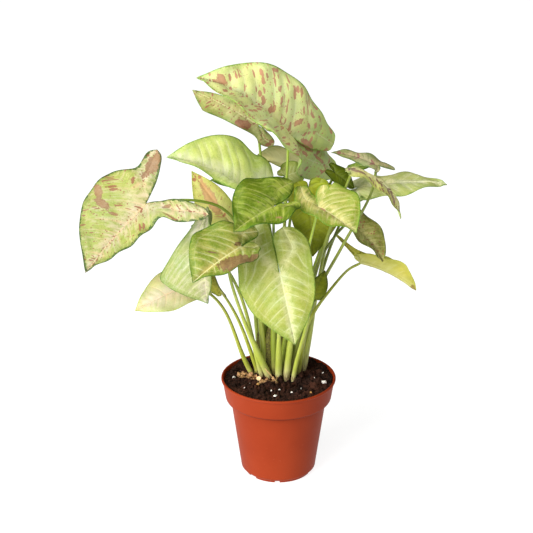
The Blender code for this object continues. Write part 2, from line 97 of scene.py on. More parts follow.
def tone(red, green, blue):
    """A colour from the paint chart's 0 to 255 steps, as the shader's linear values."""
    def linear(step):
        share = step / 255.0
        return share / 12.92 if share <= 0.04045 else ((share + 0.055) / 1.055) ** 2.4
    return (linear(red), linear(green), linear(blue), 1.0)


def soft_lamp(name, place, aim, width, watts):
    lamp = bpy.data.lights.new(name, "AREA")
    lamp.shape = "SQUARE"
    lamp.size = width
    lamp.energy = watts
    holder = bpy.data.objects.new(name, lamp)
    holder.location = place
    holder.rotation_euler = (Vector(aim) - Vector(place)).to_track_quat("-Z", "Y").to_euler()
    bpy.context.scene.collection.objects.link(holder)
    return holder


def light_studio():
    scene = bpy.context.scene
    scene.view_settings.view_transform = "Standard"
    scene.view_settings.look = "None"
    world = bpy.data.worlds.new("studio_air")
    world.use_nodes = True
    air = world.node_tree.nodes["Background"]
    air.inputs["Color"].default_value = WHITE
    air.inputs["Strength"].default_value = AIR_LIGHT
    scene.world = world
    for lamp in LAMPS:
        soft_lamp(*lamp)


light_studio()
print("lamps:", len(LAMPS))

# %% Add the floor
def add_floor():
    bpy.ops.mesh.primitive_plane_add(size=9.0)
    floor = bpy.context.object
    floor.name = "studio_floor"
    paint = bpy.data.materials.new("pale_floor")
    paint.use_nodes = True
    shader = paint.node_tree.nodes["Principled BSDF"]
    shader.inputs["Base Color"].default_value = FLOOR_GREY
    shader.inputs["Roughness"].default_value = 0.9
    shader.inputs["Emission Color"].default_value = WHITE
    shader.inputs["Emission Strength"].default_value = FLOOR_GLOW
    floor.data.materials.append(paint)
    return floor


print("floor:", add_floor().name)

# %% [markdown]
# ## Curves and grids
#
# Three small tools do most of the drawing: an easing curve, a line re-spaced evenly, and a smooth line
# through a few chosen points. With them the outline of half a leaf needs only some ten points.

# %% Curve tools
def smooth(x, low=0.0, high=1.0):
    """Ease from 0 at low to 1 at high."""
    x = np.clip((x - low) / (high - low), 0.0, 1.0)
    return x * x * (3.0 - 2.0 * x)


def spaced(line, count):
    """The same line with count + 1 points, evenly spaced along it."""
    steps = np.linalg.norm(np.diff(line, axis=0), axis=1)
    walked = np.concatenate([[0.0], np.cumsum(steps)])
    stops = np.linspace(0.0, walked[-1], count + 1)
    return np.stack([np.interp(stops, walked, line[:, k]) for k in range(line.shape[1])], axis=-1)


def curve_through(points, fine=24):
    """A smooth (Catmull-Rom) line through the points."""
    p = np.asarray(points, dtype=float)
    p = np.vstack([2 * p[0] - p[1], p, 2 * p[-1] - p[-2]])
    t = np.linspace(0.0, 1.0, fine + 1)[:-1, None]
    spans = []
    for a, b, c, d in zip(p, p[1:], p[2:], p[3:]):
        spans.append(0.5 * (2 * b + (c - a) * t + (2 * a - 5 * b + 4 * c - d) * t ** 2
                            + (3 * b - a - 3 * c + d) * t ** 3))
    return np.vstack(spans + [p[-2:-1]])


# %% [markdown]
# ## Builders of shader and geometry nodes
#
# A node tree written out in full hides its idea among links. This little builder adds a node, joins its
# inputs by name and hands back its output, so that a material reads like a sum. A second one does the same
# for Geometry Nodes, which grow whatever repeats: crumbs of soil, and the swept stalks.

# %% The builder of shader nodes
class Bench:
    """Builds shader nodes in one tree."""

    def __init__(self, tree):
        self.tree = tree

    def node(self, kind, inputs=(), output=0, **settings):
        made = self.tree.nodes.new(kind)
        for name, value in settings.items():
            setattr(made, name, value)
        for name, value in dict(inputs).items():
            if isinstance(value, bpy.types.NodeSocket):
                self.tree.links.new(value, made.inputs[name])
            else:
                made.inputs[name].default_value = value
        return made.outputs[output] if made.outputs else made

    def math(self, how, a, b=0.0, c=0.0):
        return self.node("ShaderNodeMath", {0: a, 1: b, 2: c}, operation=how)

    def times(self, a, b):
        return self.math("MULTIPLY", a, b)

    def minus(self, a, b):
        return self.math("SUBTRACT", a, b)

    def most(self, a, b):
        return self.math("MAXIMUM", a, b)

    def blend(self, a, b, c):
        """a times b, plus c."""
        return self.math("MULTIPLY_ADD", a, b, c)

    def stirred(self, value, noise, amount):
        """The value, raised and lowered by a noise."""
        return self.blend(self.minus(noise, 0.5), amount, value)

    def vector(self, how, a, b):
        return self.node("ShaderNodeVectorMath", {0: a, 1: b}, operation=how)

    def scaled(self, vector, share):
        return self.node("ShaderNodeVectorMath", {0: vector, "Scale": share}, operation="SCALE")

    def combined(self, **parts):
        return self.node("ShaderNodeCombineXYZ", parts)

    def ramp(self, value, low, high, top=1.0):
        """0 below low and top above high, eased between; low may be above high."""
        return self.node("ShaderNodeMapRange", {"Value": value, "From Min": low, "From Max": high,
                                                "To Max": top}, interpolation_type="SMOOTHSTEP")

    def noise(self, place, scale, detail=2.0, rough=0.5):
        return self.node("ShaderNodeTexNoise", {"Vector": place, "Scale": scale, "Detail": detail,
                                                "Roughness": rough})

    def mix(self, share, a, b, **how):
        return self.node("ShaderNodeMix", {0: share, 6: a, 7: b}, output=2, data_type="RGBA", **how)

    def multiplied(self, a, b):
        return self.mix(1.0, a, b, blend_type="MULTIPLY")

    def attribute(self, name, output="Fac"):
        return self.node("ShaderNodeAttribute", output=output, attribute_name=name)

    def bump(self, height, strength, distance):
        return self.node("ShaderNodeBump", {"Height": height, "Strength": strength, "Distance": distance})

# %% The builder of geometry nodes
class GeometryBench(Bench):
    """Builds geometry nodes, with the tree's own inputs and output."""

    def __init__(self, name, inputs):
        super().__init__(bpy.data.node_groups.new(name, "GeometryNodeTree"))
        face = self.tree.interface
        face.new_socket(name="Geometry", in_out="INPUT", socket_type="NodeSocketGeometry")
        for label, kind in inputs.items():
            face.new_socket(name=label, in_out="INPUT", socket_type=kind)
        face.new_socket(name="Geometry", in_out="OUTPUT", socket_type="NodeSocketGeometry")
        self.given = self.tree.nodes.new("NodeGroupInput").outputs

    def finish(self, geometry):
        """Makes any instances real, gives everything its skin and ends the tree."""
        real = self.node("GeometryNodeRealizeInstances", {"Geometry": geometry})
        geometry = self.node("GeometryNodeSetMaterial", {"Geometry": real, "Material": self.given["Skin"]})
        end = self.tree.nodes.new("NodeGroupOutput")
        self.tree.links.new(geometry, end.inputs["Geometry"])
        return self.tree

    def random(self, low, high, seed):
        vector = isinstance(low, tuple)
        first, output, kind = (0, 0, "FLOAT_VECTOR") if vector else (2, 1, "FLOAT")
        return self.node("FunctionNodeRandomValue", {first: low, first + 1: high, "Seed": seed},
                         output=output, data_type=kind)

# %% A new material
def new_material(name, roughness):
    """A material with its bench, its Principled shader and its Object coordinates."""
    made = bpy.data.materials.new(name)
    made.use_nodes = True
    bench = Bench(made.node_tree)
    shader = made.node_tree.nodes["Principled BSDF"]
    shader.inputs["Roughness"].default_value = roughness
    return made, bench, shader, bench.node("ShaderNodeTexCoord", output="Object")


def paint(bench, shader, colour, bump):
    bench.tree.links.new(colour, shader.inputs["Base Color"])
    bench.tree.links.new(bump, shader.inputs["Normal"])


# %% [markdown]
# ## Finished pieces
#
# Every finished piece belongs to the plant's one rigid body and hides the plain node that it stands for.
# These helpers do that for a mesh, run a geometry tree on an object, turn a profile round the upright axis,
# and list the faces of tubes and rims.

# %% Add a piece
def add_piece(name, mesh, node=None):
    """A new piece of the plant; node is the plain node that it stands for."""
    piece = bpy.data.objects.new(name, mesh)
    bpy.context.scene.collection.objects.link(piece)
    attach(piece, "root")
    if node:
        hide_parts(node)
    return piece


def mesh_from(name, points, faces, skin):
    """A smooth mesh from points in millimetres."""
    mesh = bpy.data.meshes.new(name)
    mesh.from_pydata((np.array([tuple(point) for point in points]) * MM).tolist(), [], faces)
    mesh.shade_smooth()
    mesh.materials.append(skin)
    return mesh


def point_attribute(mesh, name, values):
    values = np.asarray(values, dtype=np.float32)
    kind, channel = ("FLOAT_VECTOR", "vector") if values.ndim == 2 else ("FLOAT", "value")
    mesh.attributes.new(name, kind, "POINT").data.foreach_set(channel, values.ravel())

# %% Run modifiers and geometry trees
def evaluated(holder):
    """The mesh that an object's modifiers make."""
    graph = bpy.context.evaluated_depsgraph_get()
    graph.update()
    return bpy.data.meshes.new_from_object(holder.evaluated_get(graph))


def grown(name, mesh, tree, values):
    """The mesh that a geometry tree makes from another, with the given inputs."""
    holder = bpy.data.objects.new(name, mesh)
    bpy.context.scene.collection.objects.link(holder)
    modifier = holder.modifiers.new("grow", "NODES")
    modifier.node_group = tree
    for item in tree.interface.items_tree:
        if item.in_out == "INPUT" and item.name in values:
            modifier[item.identifier] = values[item.name]
    made = evaluated(holder)
    bpy.data.objects.remove(holder)
    return made

# %% Outlines, softened and turned
CORNER_STEPS = 3         # straight steps round a softened corner


def softened(outline, reach):
    """The outline with its corners rounded off over the given reach."""
    points = np.asarray(outline, float)
    soft = [points[0]]
    for before, corner, after in zip(points, points[1:], points[2:]):
        back, ahead = before - corner, after - corner
        start = corner + back * min(0.45, reach / np.linalg.norm(back))
        end = corner + ahead * min(0.45, reach / np.linalg.norm(ahead))
        soft += [(1 - t) ** 2 * start + 2 * t * (1 - t) * corner + t * t * end
                 for t in np.linspace(0.0, 1.0, CORNER_STEPS + 1)]
    return np.array(soft + [points[-1]])


def turned(outline, turns):
    """Points and faces of an outline, from the axis and back to it, turned round the upright axis."""
    inner = outline[1:-1]
    angles = np.linspace(0.0, math.tau, turns, endpoint=False)
    rings = np.stack([np.outer(inner[:, 0], np.cos(angles)), np.outer(inner[:, 0], np.sin(angles)),
                      np.repeat(inner[:, 1:], turns, axis=1)], axis=-1).reshape(-1, 3)
    last = len(rings)
    points = np.vstack([rings, [[0.0, 0.0, outline[0][1]], [0.0, 0.0, outline[-1][1]]]])
    faces = []
    for turn in range(turns):
        onward = (turn + 1) % turns
        faces.append((last, turn, onward))
        for ring in range(len(inner) - 1):
            low, high = ring * turns, (ring + 1) * turns
            faces.append((low + turn, high + turn, high + onward, low + onward))
        end = (len(inner) - 1) * turns
        faces.append((last + 1, end + onward, end + turn))
    return points, faces

# %% Tubes and rims
def ring_points(middle, side, other, radius, sides):
    """Points of a ring round a middle, in the plane of two directions."""
    turns = [math.tau * s / sides for s in range(sides)]
    return [middle + (side * math.cos(turn) + other * math.sin(turn)) * radius for turn in turns]


def tube_faces(rings, sides):
    """The faces between rings of points that follow one another."""
    return [(k * sides + s, k * sides + (s + 1) % sides,
             (k + 1) * sides + (s + 1) % sides, (k + 1) * sides + s)
            for k in range(rings - 1) for s in range(sides)]


def rim_faces(faces, count):
    """The faces that join a sheet's border to its copy, whose numbers are higher by count."""
    edges = dict.fromkeys((a, b) for face in faces for a, b in zip(face, face[1:] + face[:1]))
    return [(b, a, a + count, b + count) for a, b in edges if (b, a) not in edges]


# %% [markdown]
# ## The pot
#
# Nursery pots are moulded from thin coloured polypropylene: a collar that lets them stack, a wall that
# narrows downwards so that they leave the mould, and a foot ring with notches that lets water out. So the
# pot is one outline turned round its axis, and its drain holes and notches are cut from it afterwards.

# %% The pot's measures
RIM_RADIUS = 52.5
RIM_HEIGHT = 94.0
LIP = 2.8
COLLAR_TOP_RADIUS = 51.2
COLLAR_RADIUS = 48.5
COLLAR_FOOT = 74.5       # where the collar steps in to the wall
SHOULDER_RADIUS = 43.5
SHOULDER = 71.5
WALL_FOOT_RADIUS = 34.2
WALL_FOOT = 4.6
FOOT_RADIUS = 31.0
FOOT_WIDTH = 2.6
WALL = 1.2
PANEL_UNDER = 2.4        # underside of the raised bottom panel
PANEL_TOP = 3.8
PAD_RADIUS = 8.0
POT_TURNS = 192
DRAIN_HOLES = 6
DRAIN_RADIUS = 2.5
DRAIN_CIRCLE = 19.0
FOOT_NOTCHES = ((-140.0, 9.0), (-92.0, 5.0), (-20.0, 6.0), (90.0, 8.0))  # heading and width
NOTCH_HEIGHT = 2.0
PAINTED_SHADE_HEIGHT = COLLAR_FOOT - 2.2  # where a painted shade darkens the step under the collar
CORNER = 0.7             # how far along its sides a corner is rounded
SHARP_ANGLE = 40.0       # degrees between faces that meet in a hard edge

# %% The pot's outline
def pot_inside(height):
    """The pot's inside radius at a height."""
    heights = (PANEL_TOP, SHOULDER, COLLAR_FOOT, RIM_HEIGHT - LIP)
    radii = (WALL_FOOT_RADIUS - WALL, SHOULDER_RADIUS - WALL, COLLAR_RADIUS - WALL, COLLAR_TOP_RADIUS - WALL)
    return float(np.interp(height, heights, radii))


def pot_outline():
    """From the middle of the panel's top, up the inside, over the lip, down the outside and under."""
    inside = [(0.0, PANEL_TOP), (pot_inside(PANEL_TOP) - 1.2, PANEL_TOP), (pot_inside(6.0), 6.0)]
    inside += [(pot_inside(z), z) for z in (SHOULDER, COLLAR_FOOT, RIM_HEIGHT - LIP)]
    lip = [(RIM_RADIUS - 1.9, RIM_HEIGHT - 0.2), (RIM_RADIUS - 0.9, RIM_HEIGHT),
           (RIM_RADIUS, RIM_HEIGHT - 0.5), (RIM_RADIUS, RIM_HEIGHT - LIP + 0.7),
           (COLLAR_TOP_RADIUS, RIM_HEIGHT - LIP)]
    collar = [(COLLAR_RADIUS, COLLAR_FOOT), (COLLAR_RADIUS - 0.9, COLLAR_FOOT - 1.6),
              (SHOULDER_RADIUS + 0.4, SHOULDER), (SHOULDER_RADIUS, SHOULDER - 1.0)]
    foot = [(WALL_FOOT_RADIUS, WALL_FOOT), (FOOT_RADIUS, PANEL_UNDER - 0.6), (FOOT_RADIUS - 0.2, 0.0)]
    under = [(FOOT_RADIUS - FOOT_WIDTH, 0.0), (FOOT_RADIUS - FOOT_WIDTH, PANEL_UNDER),
             (PAD_RADIUS + 1.0, PANEL_UNDER), (PAD_RADIUS, 0.0), (0.0, 0.0)]
    return softened(inside + lip + collar + foot + under, CORNER)


print("points in the pot's outline:", len(pot_outline()))


# %% The pot's plastic
def pot_plastic():
    made, bench, shader, place = new_material("terracotta_plastic", 0.5)
    cloudy = bench.noise(place, 18.0, 3.0)
    scuffs = bench.noise(place, 420.0, 3.0, 0.7)
    colour = bench.mix(bench.ramp(cloudy, 0.3, 0.7), tone(136, 48, 21), tone(145, 54, 25))
    colour = bench.mix(bench.ramp(scuffs, 0.66, 0.78, 0.3), colour, tone(206, 112, 80))
    height = bench.node("ShaderNodeSeparateXYZ", {0: place}, output=2)
    # painted shade: a dark band in the step under the collar
    from_painted_shade = bench.math("ABSOLUTE", bench.minus(height, PAINTED_SHADE_HEIGHT * MM))
    colour = bench.mix(bench.ramp(from_painted_shade, 2.0 * MM, 1.2 * MM, 0.6), colour, tone(84, 22, 8))
    paint(bench, shader, colour, bench.bump(scuffs, 0.12, 0.1 * MM))
    shader.inputs["Specular IOR Level"].default_value = 0.06
    return made

# %% Cut the holes and build the pot
def cutting_rods():
    """The drain holes and the foot's notches, as one mesh of upright rods."""
    rods = bmesh.new()

    def rod(radius, low, high, distance, turn):
        place = Vector((distance * math.cos(turn), distance * math.sin(turn), (low + high) / 2)) * MM
        bmesh.ops.create_cone(rods, cap_ends=True, segments=24, radius1=radius * MM, radius2=radius * MM,
                              depth=(high - low) * MM, matrix=Matrix.Translation(place))

    for hole in range(DRAIN_HOLES):
        rod(DRAIN_RADIUS, PANEL_UNDER - 2, PANEL_TOP + 2, DRAIN_CIRCLE, math.tau * (hole + 0.5) / DRAIN_HOLES)
    for heading, wide in FOOT_NOTCHES:
        rod(wide / 2, -1.0, NOTCH_HEIGHT, FOOT_RADIUS - FOOT_WIDTH / 2, math.radians(heading))
    mesh = bpy.data.meshes.new("cutting_rods")
    rods.to_mesh(mesh)
    rods.free()
    return mesh


def make_pot():
    mesh = mesh_from("nursery_pot", *turned(pot_outline(), POT_TURNS), pot_plastic())
    body = bpy.data.objects.new("pot_blank", mesh)
    tool = bpy.data.objects.new("pot_cutter", cutting_rods())
    for thing in (body, tool):
        bpy.context.scene.collection.objects.link(thing)
    cut = body.modifiers.new("cut", "BOOLEAN")
    cut.operation = "DIFFERENCE"
    cut.object = tool
    made = evaluated(body)
    for thing in (body, tool):
        bpy.data.objects.remove(thing)
    made.set_sharp_from_angle(angle=math.radians(SHARP_ANGLE))
    return add_piece("nursery_pot", made, "pot")


pot = make_pot()
print("pot faces:", len(pot.data.polygons))

# %% [markdown]
# ## The soil
#
# Potting soil is dark peat: a loose, lumpy surface of crumbs and clods, heaped a little under the stalks and
# pushed up against the pot. A turned body gives the bulk, smooth noise gives the lumps, and crumbs and clods
# are scattered over it with Geometry Nodes, each with a size, a turn and a tint of its own.

# %% The soil's surface
SOIL_EDGE = 89.5
SOIL_GAP = 0.3           # between the soil and the pot
MOUND = 4.5
MOUND_MIDDLE = (-2.0, 9.0)
MOUND_SPREAD = 26.0
BACK_HEAP = 3.0
RIGHT_HEAP = 1.0
HOLLOW = 4.5
HOLLOW_MIDDLE = (17.0, -12.0)
HOLLOW_SPREAD = 80.0     # in square millimetres
LUMPS = 2.6              # how far a lump stands out
LUMP_LAYERS = ((1.0, 0.11, 3.0), (0.9, 0.30, 8.0), (0.5, 0.75, 5.0))  # share, fineness, place in the noise
SOIL_RINGS = 64
SOIL_TURNS = 160


def mound(x, y):
    """Height of the soil's surface, without its lumps."""
    far2 = (x - MOUND_MIDDLE[0]) ** 2 + (y - MOUND_MIDDLE[1]) ** 2
    return SOIL_EDGE + MOUND * np.exp(-far2 / (2 * MOUND_SPREAD ** 2))


def soil_height(x, y):
    """Height of the lumpy surface: higher at the back, with a hollow at the front right."""
    heap = BACK_HEAP * float(smooth(y, 12.0, 44.0)) + RIGHT_HEAP * float(smooth(x, 20.0, 46.0))
    far2 = (x - HOLLOW_MIDDLE[0]) ** 2 + (y - HOLLOW_MIDDLE[1]) ** 2
    lumps = sum(share * noise.noise(Vector((x, y, z)) * fine) for share, fine, z in LUMP_LAYERS)
    return float(mound(x, y)) + heap - HOLLOW * math.exp(-far2 / HOLLOW_SPREAD) + LUMPS * lumps


print("soil on the axis:", round(soil_height(0.0, 0.0), 1), "mm up")


# %% Peat, and the body of soil
def peat():
    made, bench, shader, place = new_material("potting_peat", 0.9)
    regions = bench.noise(place, 85.0, 3.0, 0.65)
    lumps = bench.noise(place, 260.0, 4.0, 0.7)
    grit = bench.noise(place, 1100.0, 3.0, 0.65)
    colour = bench.mix(bench.ramp(lumps, 0.35, 0.7), tone(12, 7, 4), tone(42, 24, 16))
    colour = bench.mix(bench.ramp(regions, 0.45, 0.62, 0.4), colour, tone(82, 46, 31))
    colour = bench.mix(bench.ramp(grit, 0.60, 0.76), colour, tone(92, 58, 42))
    colour = bench.mix(bench.times(bench.attribute("tint"), 0.32), colour, tone(80, 46, 31))
    paint(bench, shader, colour, bench.bump(bench.blend(grit, 0.5, lumps), 0.9, 0.9 * MM))
    shader.inputs["Specular IOR Level"].default_value = 0.15
    return made


def make_soil():
    rings = [(r, SOIL_EDGE) for r in np.linspace(0.0, pot_inside(SOIL_EDGE) - SOIL_GAP, SOIL_RINGS)]
    side = [(pot_inside(z) - SOIL_GAP, z) for z in (COLLAR_FOOT, SHOULDER, 6.0)]
    bottom = [(FOOT_RADIUS - 1.0, PANEL_TOP + SOIL_GAP), (0.0, PANEL_TOP + SOIL_GAP)]
    points, faces = turned(np.array(rings + side + bottom), SOIL_TURNS)
    for point in points:
        if point[2] > SOIL_EDGE - 1.0:
            point[2] = soil_height(point[0], point[1])
    return add_piece("soil_body", mesh_from("soil_body", points, faces, PEAT), "soil")


PEAT = peat()
soil = make_soil()
print("soil faces:", len(soil.data.polygons))


# %% Crumbs and clods over the soil
CRUMB_SIZES = 1.8        # the higher, the more of the crumbs are small
CRUMB_STRETCH = ((0.7, 0.6, 0.45), (1.5, 1.1, 0.95))
CRUMBS = (  # piece, distance from the axis, and the tree's inputs
    ("soil_crumbs", 46.5, {"Density": 400000.0, "Smallest": 0.8 * MM, "Largest": 5.0 * MM, "Fineness": 1,
                           "Unevenness": 1.6 * MM, "Pitch": 900.0, "Seed": 4}),
    ("soil_clods", 42.0, {"Density": 16000.0, "Smallest": 4.5 * MM, "Largest": 9.5 * MM, "Fineness": 3,
                          "Unevenness": 5.0 * MM, "Pitch": 330.0, "Seed": 11}))


def strewn_balls(bench):
    """Balls strewn over the given surface, each with its own stretch, turn and tint, and made real."""
    given = bench.given
    spots = bench.node("GeometryNodeDistributePointsOnFaces", {
        "Mesh": given["Geometry"], "Density": given["Density"], "Seed": given["Seed"]})
    ball = bench.node("GeometryNodeMeshIcoSphere", {"Subdivisions": given["Fineness"], "Radius": 0.5})
    size = bench.math("POWER", bench.random(0.0, 1.0, 3), CRUMB_SIZES)
    size = bench.node("ShaderNodeMapRange", {"Value": size, "To Min": given["Smallest"],
                                             "To Max": given["Largest"]})
    scale = bench.scaled(bench.random(*CRUMB_STRETCH, 5), size)
    turn = bench.random((0.0, 0.0, 0.0), (math.tau, math.tau, math.tau), 7)
    balls = bench.node("GeometryNodeInstanceOnPoints", {"Points": spots, "Instance": ball, "Scale": scale,
                                                        "Rotation": turn})
    balls = bench.node("GeometryNodeStoreNamedAttribute", {
        "Geometry": balls, "Name": "tint", "Value": bench.random(0.0, 1.0, 9)},
        data_type="FLOAT", domain="INSTANCE")
    return bench.node("GeometryNodeRealizeInstances", {"Geometry": balls})


def crumb_tree():
    """Scatters crumbs over a surface: stretched balls, roughened by a noise."""
    bench = GeometryBench("scatter_crumbs", {
        "Density": "NodeSocketFloat", "Smallest": "NodeSocketFloat", "Largest": "NodeSocketFloat",
        "Fineness": "NodeSocketInt", "Unevenness": "NodeSocketFloat", "Pitch": "NodeSocketFloat",
        "Seed": "NodeSocketInt", "Skin": "NodeSocketMaterial"})
    crumbs = strewn_balls(bench)
    place = bench.node("GeometryNodeInputPosition")
    rough = bench.node("ShaderNodeTexNoise", {"Vector": place, "Scale": bench.given["Pitch"],
                                              "Detail": 1.0}, output=1)
    rough = bench.scaled(bench.vector("SUBTRACT", rough, (0.5, 0.5, 0.5)), bench.given["Unevenness"])
    crumbs = bench.node("GeometryNodeSetPosition", {"Geometry": crumbs, "Offset": rough})
    return bench.finish(crumbs)

# %% Scatter the crumbs
def soil_top(reach):
    """The soil's upper surface alone, out to a distance from the axis, as the ground for the crumbs."""
    mesh = soil.data.copy()
    sheet = bmesh.new()
    sheet.from_mesh(mesh)

    def is_outside(face):
        middle = face.calc_center_median()
        return middle.z < (SOIL_EDGE - 4.0) * MM or middle.xy.length > reach * MM

    bmesh.ops.delete(sheet, geom=[face for face in sheet.faces if is_outside(face)], context="FACES")
    sheet.to_mesh(mesh)
    sheet.free()
    return mesh


CRUMB_TREE = crumb_tree()
print("crumb tree nodes:", len(CRUMB_TREE.nodes))
for name, reach, inputs in CRUMBS:
    crumbs = grown(name, soil_top(reach), CRUMB_TREE, {**inputs, "Skin": PEAT})
    print(name, "faces:", len(add_piece(name, crumbs).data.polygons))

# %% [markdown]
# ## Things on the soil
#
# White perlite keeps potting soil airy, so a few grains always show. Dry tan sheaths of old leaves and some
# straws lie among the stalks, dark olive sheaths stand between them both as old leaf bases and as painted
# shade in the gaps, and a leaf that was cut off has left its pale stub. They are placed one by one.

# %% Perlite grains
PERLITE = (  # place from the pot's axis, and size
    (-6.3, -26.2, 2.0), (0.5, -29.2, 2.6), (-3.2, -40.1, 3.0), (11.8, -30.3, 1.9), (40.9, 8.1, 1.8),
    (41.5, -9.8, 4.6), (32.9, -4.9, 1.2), (-30.7, -22.1, 1.5), (-26.4, -11.1, 1.4), (-34.6, 41.2, 2.4),
    (-40.8, 1.4, 3.2), (20.4, -21.6, 0.9), (-14.9, -31.5, 0.9))
TAN_GRAINS = ((29.2, -30.3, 2.2), (-18.7, -19.3, 3.0))
GRAIN_LIFT = 1.6         # the crumbs round a grain would hide it


def grain_mesh(name, grains, skin):
    """Uneven little lumps, one at each place."""
    lumps = bmesh.new()
    for number, (x, y, size) in enumerate(grains, 1):
        place = Vector((x, y, soil_height(x, y) + 0.45 * size + GRAIN_LIFT))
        for vertex in bmesh.ops.create_icosphere(lumps, subdivisions=2, radius=size / 2)["verts"]:
            uneven = noise.noise(vertex.co * (2.2 / size) + Vector((number, 0.0, 0.0)))
            vertex.co *= 1.0 + 0.55 * uneven
            vertex.co.z *= 0.75
            vertex.co.rotate(Matrix.Rotation(1.3 * number, 3, "Z"))
            vertex.co = (vertex.co + place) * MM
    mesh = bpy.data.meshes.new(name)
    lumps.to_mesh(mesh)
    lumps.free()
    mesh.materials.append(skin)
    mesh.shade_smooth()
    return mesh


def grain_skin(name, light, dark):
    made, bench, shader, place = new_material(name, 0.85)
    pits = bench.noise(place, 1400.0, 3.0, 0.6)
    colour = bench.mix(bench.ramp(pits, 0.35, 0.6), tone(*dark), tone(*light))
    paint(bench, shader, colour, bench.bump(pits, 0.8, 0.3 * MM))
    return made


for name, grains, skin in (
        ("perlite_grains", PERLITE, grain_skin("perlite_white", (246, 242, 232), (206, 198, 186))),
        ("tan_grains", TAN_GRAINS, grain_skin("tan_chip", (222, 172, 96), (160, 104, 50)))):
    piece = add_piece(name, grain_mesh(name, grains, skin))
    print(name, "faces:", len(piece.data.polygons))


# %% Places of the sheaths and straws
SCRAPS = (  # middle, length, width, heading in degrees, and seed
    ((-31.0, -1.0, 94.6), 15.0, 10.0, -20.0, 3.0),
    ((-10.0, -12.5, 94.4), 14.0, 8.0, 15.0, 8.0),
    ((-23.0, -4.0, 94.0), 8.0, 5.0, 60.0, 12.0),
    ((-3.0, -13.0, 94.0), 7.0, 4.0, -40.0, 17.0))
# old leaf bases whose dark olive also stands in for the shade between the stalks: partly painted shade
STANDING = (  # foot, height, width, heading in degrees, and seed
    ((-8.0, 5.0), 58.0, 13.0, -85.0, 2.0),
    ((1.0, 9.0), 52.0, 12.0, -95.0, 5.0),
    ((-17.0, 6.0), 44.0, 11.0, -100.0, 9.0),
    ((-3.0, 15.0), 50.0, 13.0, 80.0, 14.0))
STRAWS = (
    ((-14.0, -9.0, 109.0), (-10.5, -10.5, 104.5), (-6.0, -12.0, 99.5), (-1.5, -14.0, 94.4)),
    ((-0.5, -6.0, 101.0), (-1.2, -8.0, 97.0), (-2.2, -10.5, 93.6)),
    ((-20.0, -13.0, 93.8), (-14.0, -16.0, 94.4), (-8.0, -17.5, 93.4)))
SHEATH_SKIN = 0.3        # thickness of a dry sheath
SHEATH_BOW = 65.0        # degrees from the middle of a standing sheath to its side
SCRAP_GRID = (18, 10)    # rows and columns of faces
STANDING_GRID = (22, 10)
STRAW_RADIUS = 0.38
STRAW_SIDES = 10
UPRIGHT = Vector((0.0, 0.0, 1.0))

# %% Thin shells for the sheaths
def closed_sheet(top, stride, facing):
    """Closes a grid of points into a thin shell, given the way that the grid faces."""
    count = len(top)
    faces = [(k, k + stride, k + stride + 1, k + 1) for k in range(count - stride) if (k + 1) % stride]
    lower = [tuple(n + count for n in face[::-1]) for face in faces]
    return top + [p - facing * SHEATH_SKIN for p in top], faces + lower + rim_faces(faces, count)


def scrap_shell(middle, length, width, heading, seed):
    """A crumpled, curled flake that lies on the soil: its points and faces."""
    rows, columns = SCRAP_GRID
    turn = math.radians(heading)
    along = Vector((math.cos(turn), math.sin(turn), 0.0))
    across = Vector((-math.sin(turn), math.cos(turn), 0.0))
    top = []
    for r in range(rows + 1):
        u = 2.0 * r / rows - 1.0
        wide = width / 2 * math.sqrt(max(1.0 - u ** 4, 0.02)) * (1.0 + 0.3 * math.sin(5.0 * u + seed))
        for c in range(columns + 1):
            v = 2.0 * c / columns - 1.0
            flat = Vector((u * length / 2, v * wide, seed))
            rise = 2.6 * noise.noise(flat * 0.33) + 1.3 * noise.noise(flat * 0.8) + 1.3 * v ** 2
            slide = 1.2 * noise.noise(flat * 0.5 + Vector((9.0, 0.0, 0.0)))
            top.append(Vector(middle) + along * (flat.x + slide) + across * flat.y + UPRIGHT * rise)
    return closed_sheet(top, columns + 1, UPRIGHT)


def standing_sheath(foot, height, width, heading, seed):
    """The dry base of a shed leaf, still upright: a curved, tapering strip with a torn top."""
    rows, columns = STANDING_GRID
    turn = math.radians(heading)
    facing = Vector((math.cos(turn), math.sin(turn), 0.0))
    across = Vector((math.sin(turn), -math.cos(turn), 0.0))
    top = []
    for r in range(rows + 1):
        up = r / rows
        half = width / 2 * (1.0 - up ** 3) ** 0.6 + 0.3
        for c in range(columns + 1):
            bow = math.radians(SHEATH_BOW) * (2.0 * c / columns - 1.0)
            uneven = noise.noise(Vector((4.0 * up, 1.5 * bow, seed)))
            lean = 3.0 * up * up * math.sin(seed) + 1.5 * uneven
            rise = height * up * (1.0 + 0.25 * uneven * up)
            top.append(Vector((*foot, mound(*foot) - 2.0 + rise)) + across * (half * math.sin(bow))
                       + facing * (half * math.cos(bow) + lean))
    return closed_sheet(top, columns + 1, facing)

# %% Straws
def straw_rod(route):
    """A capped rod along a smooth route: its points and faces."""
    line = curve_through(route, 6)
    points = []
    for k, place in enumerate(line):
        ahead = Vector(line[min(k + 1, len(line) - 1)] - line[max(k - 1, 0)]).normalized()
        side = ahead.cross(Vector((0.0, 1.0, 0.0))).normalized()
        points += ring_points(Vector(place), side, ahead.cross(side), STRAW_RADIUS, STRAW_SIDES)
    last = len(points) - STRAW_SIDES
    caps = [tuple(reversed(range(STRAW_SIDES))), tuple(range(last, len(points)))]
    return points, tube_faces(len(line), STRAW_SIDES) + caps


def joined(shells):
    """Several (points, faces) shells as one."""
    points, faces = [], []
    for some_points, some_faces in shells:
        faces += [tuple(n + len(points) for n in face) for face in some_faces]
        points += some_points
    return points, faces

# %% Lay the sheaths and straws
def dry_skin(name, light, dark):
    made, bench, shader, place = new_material(name, 0.75)
    drawn_out = bench.node("ShaderNodeMapping", {"Vector": place, "Scale": (1.0, 0.35, 1.0)})
    streaks = bench.noise(drawn_out, 700.0, 4.0, 0.7)
    colour = bench.mix(bench.ramp(streaks, 0.35, 0.65), tone(*dark), tone(*light))
    paint(bench, shader, colour, bench.bump(streaks, 0.7, 0.3 * MM))
    return made


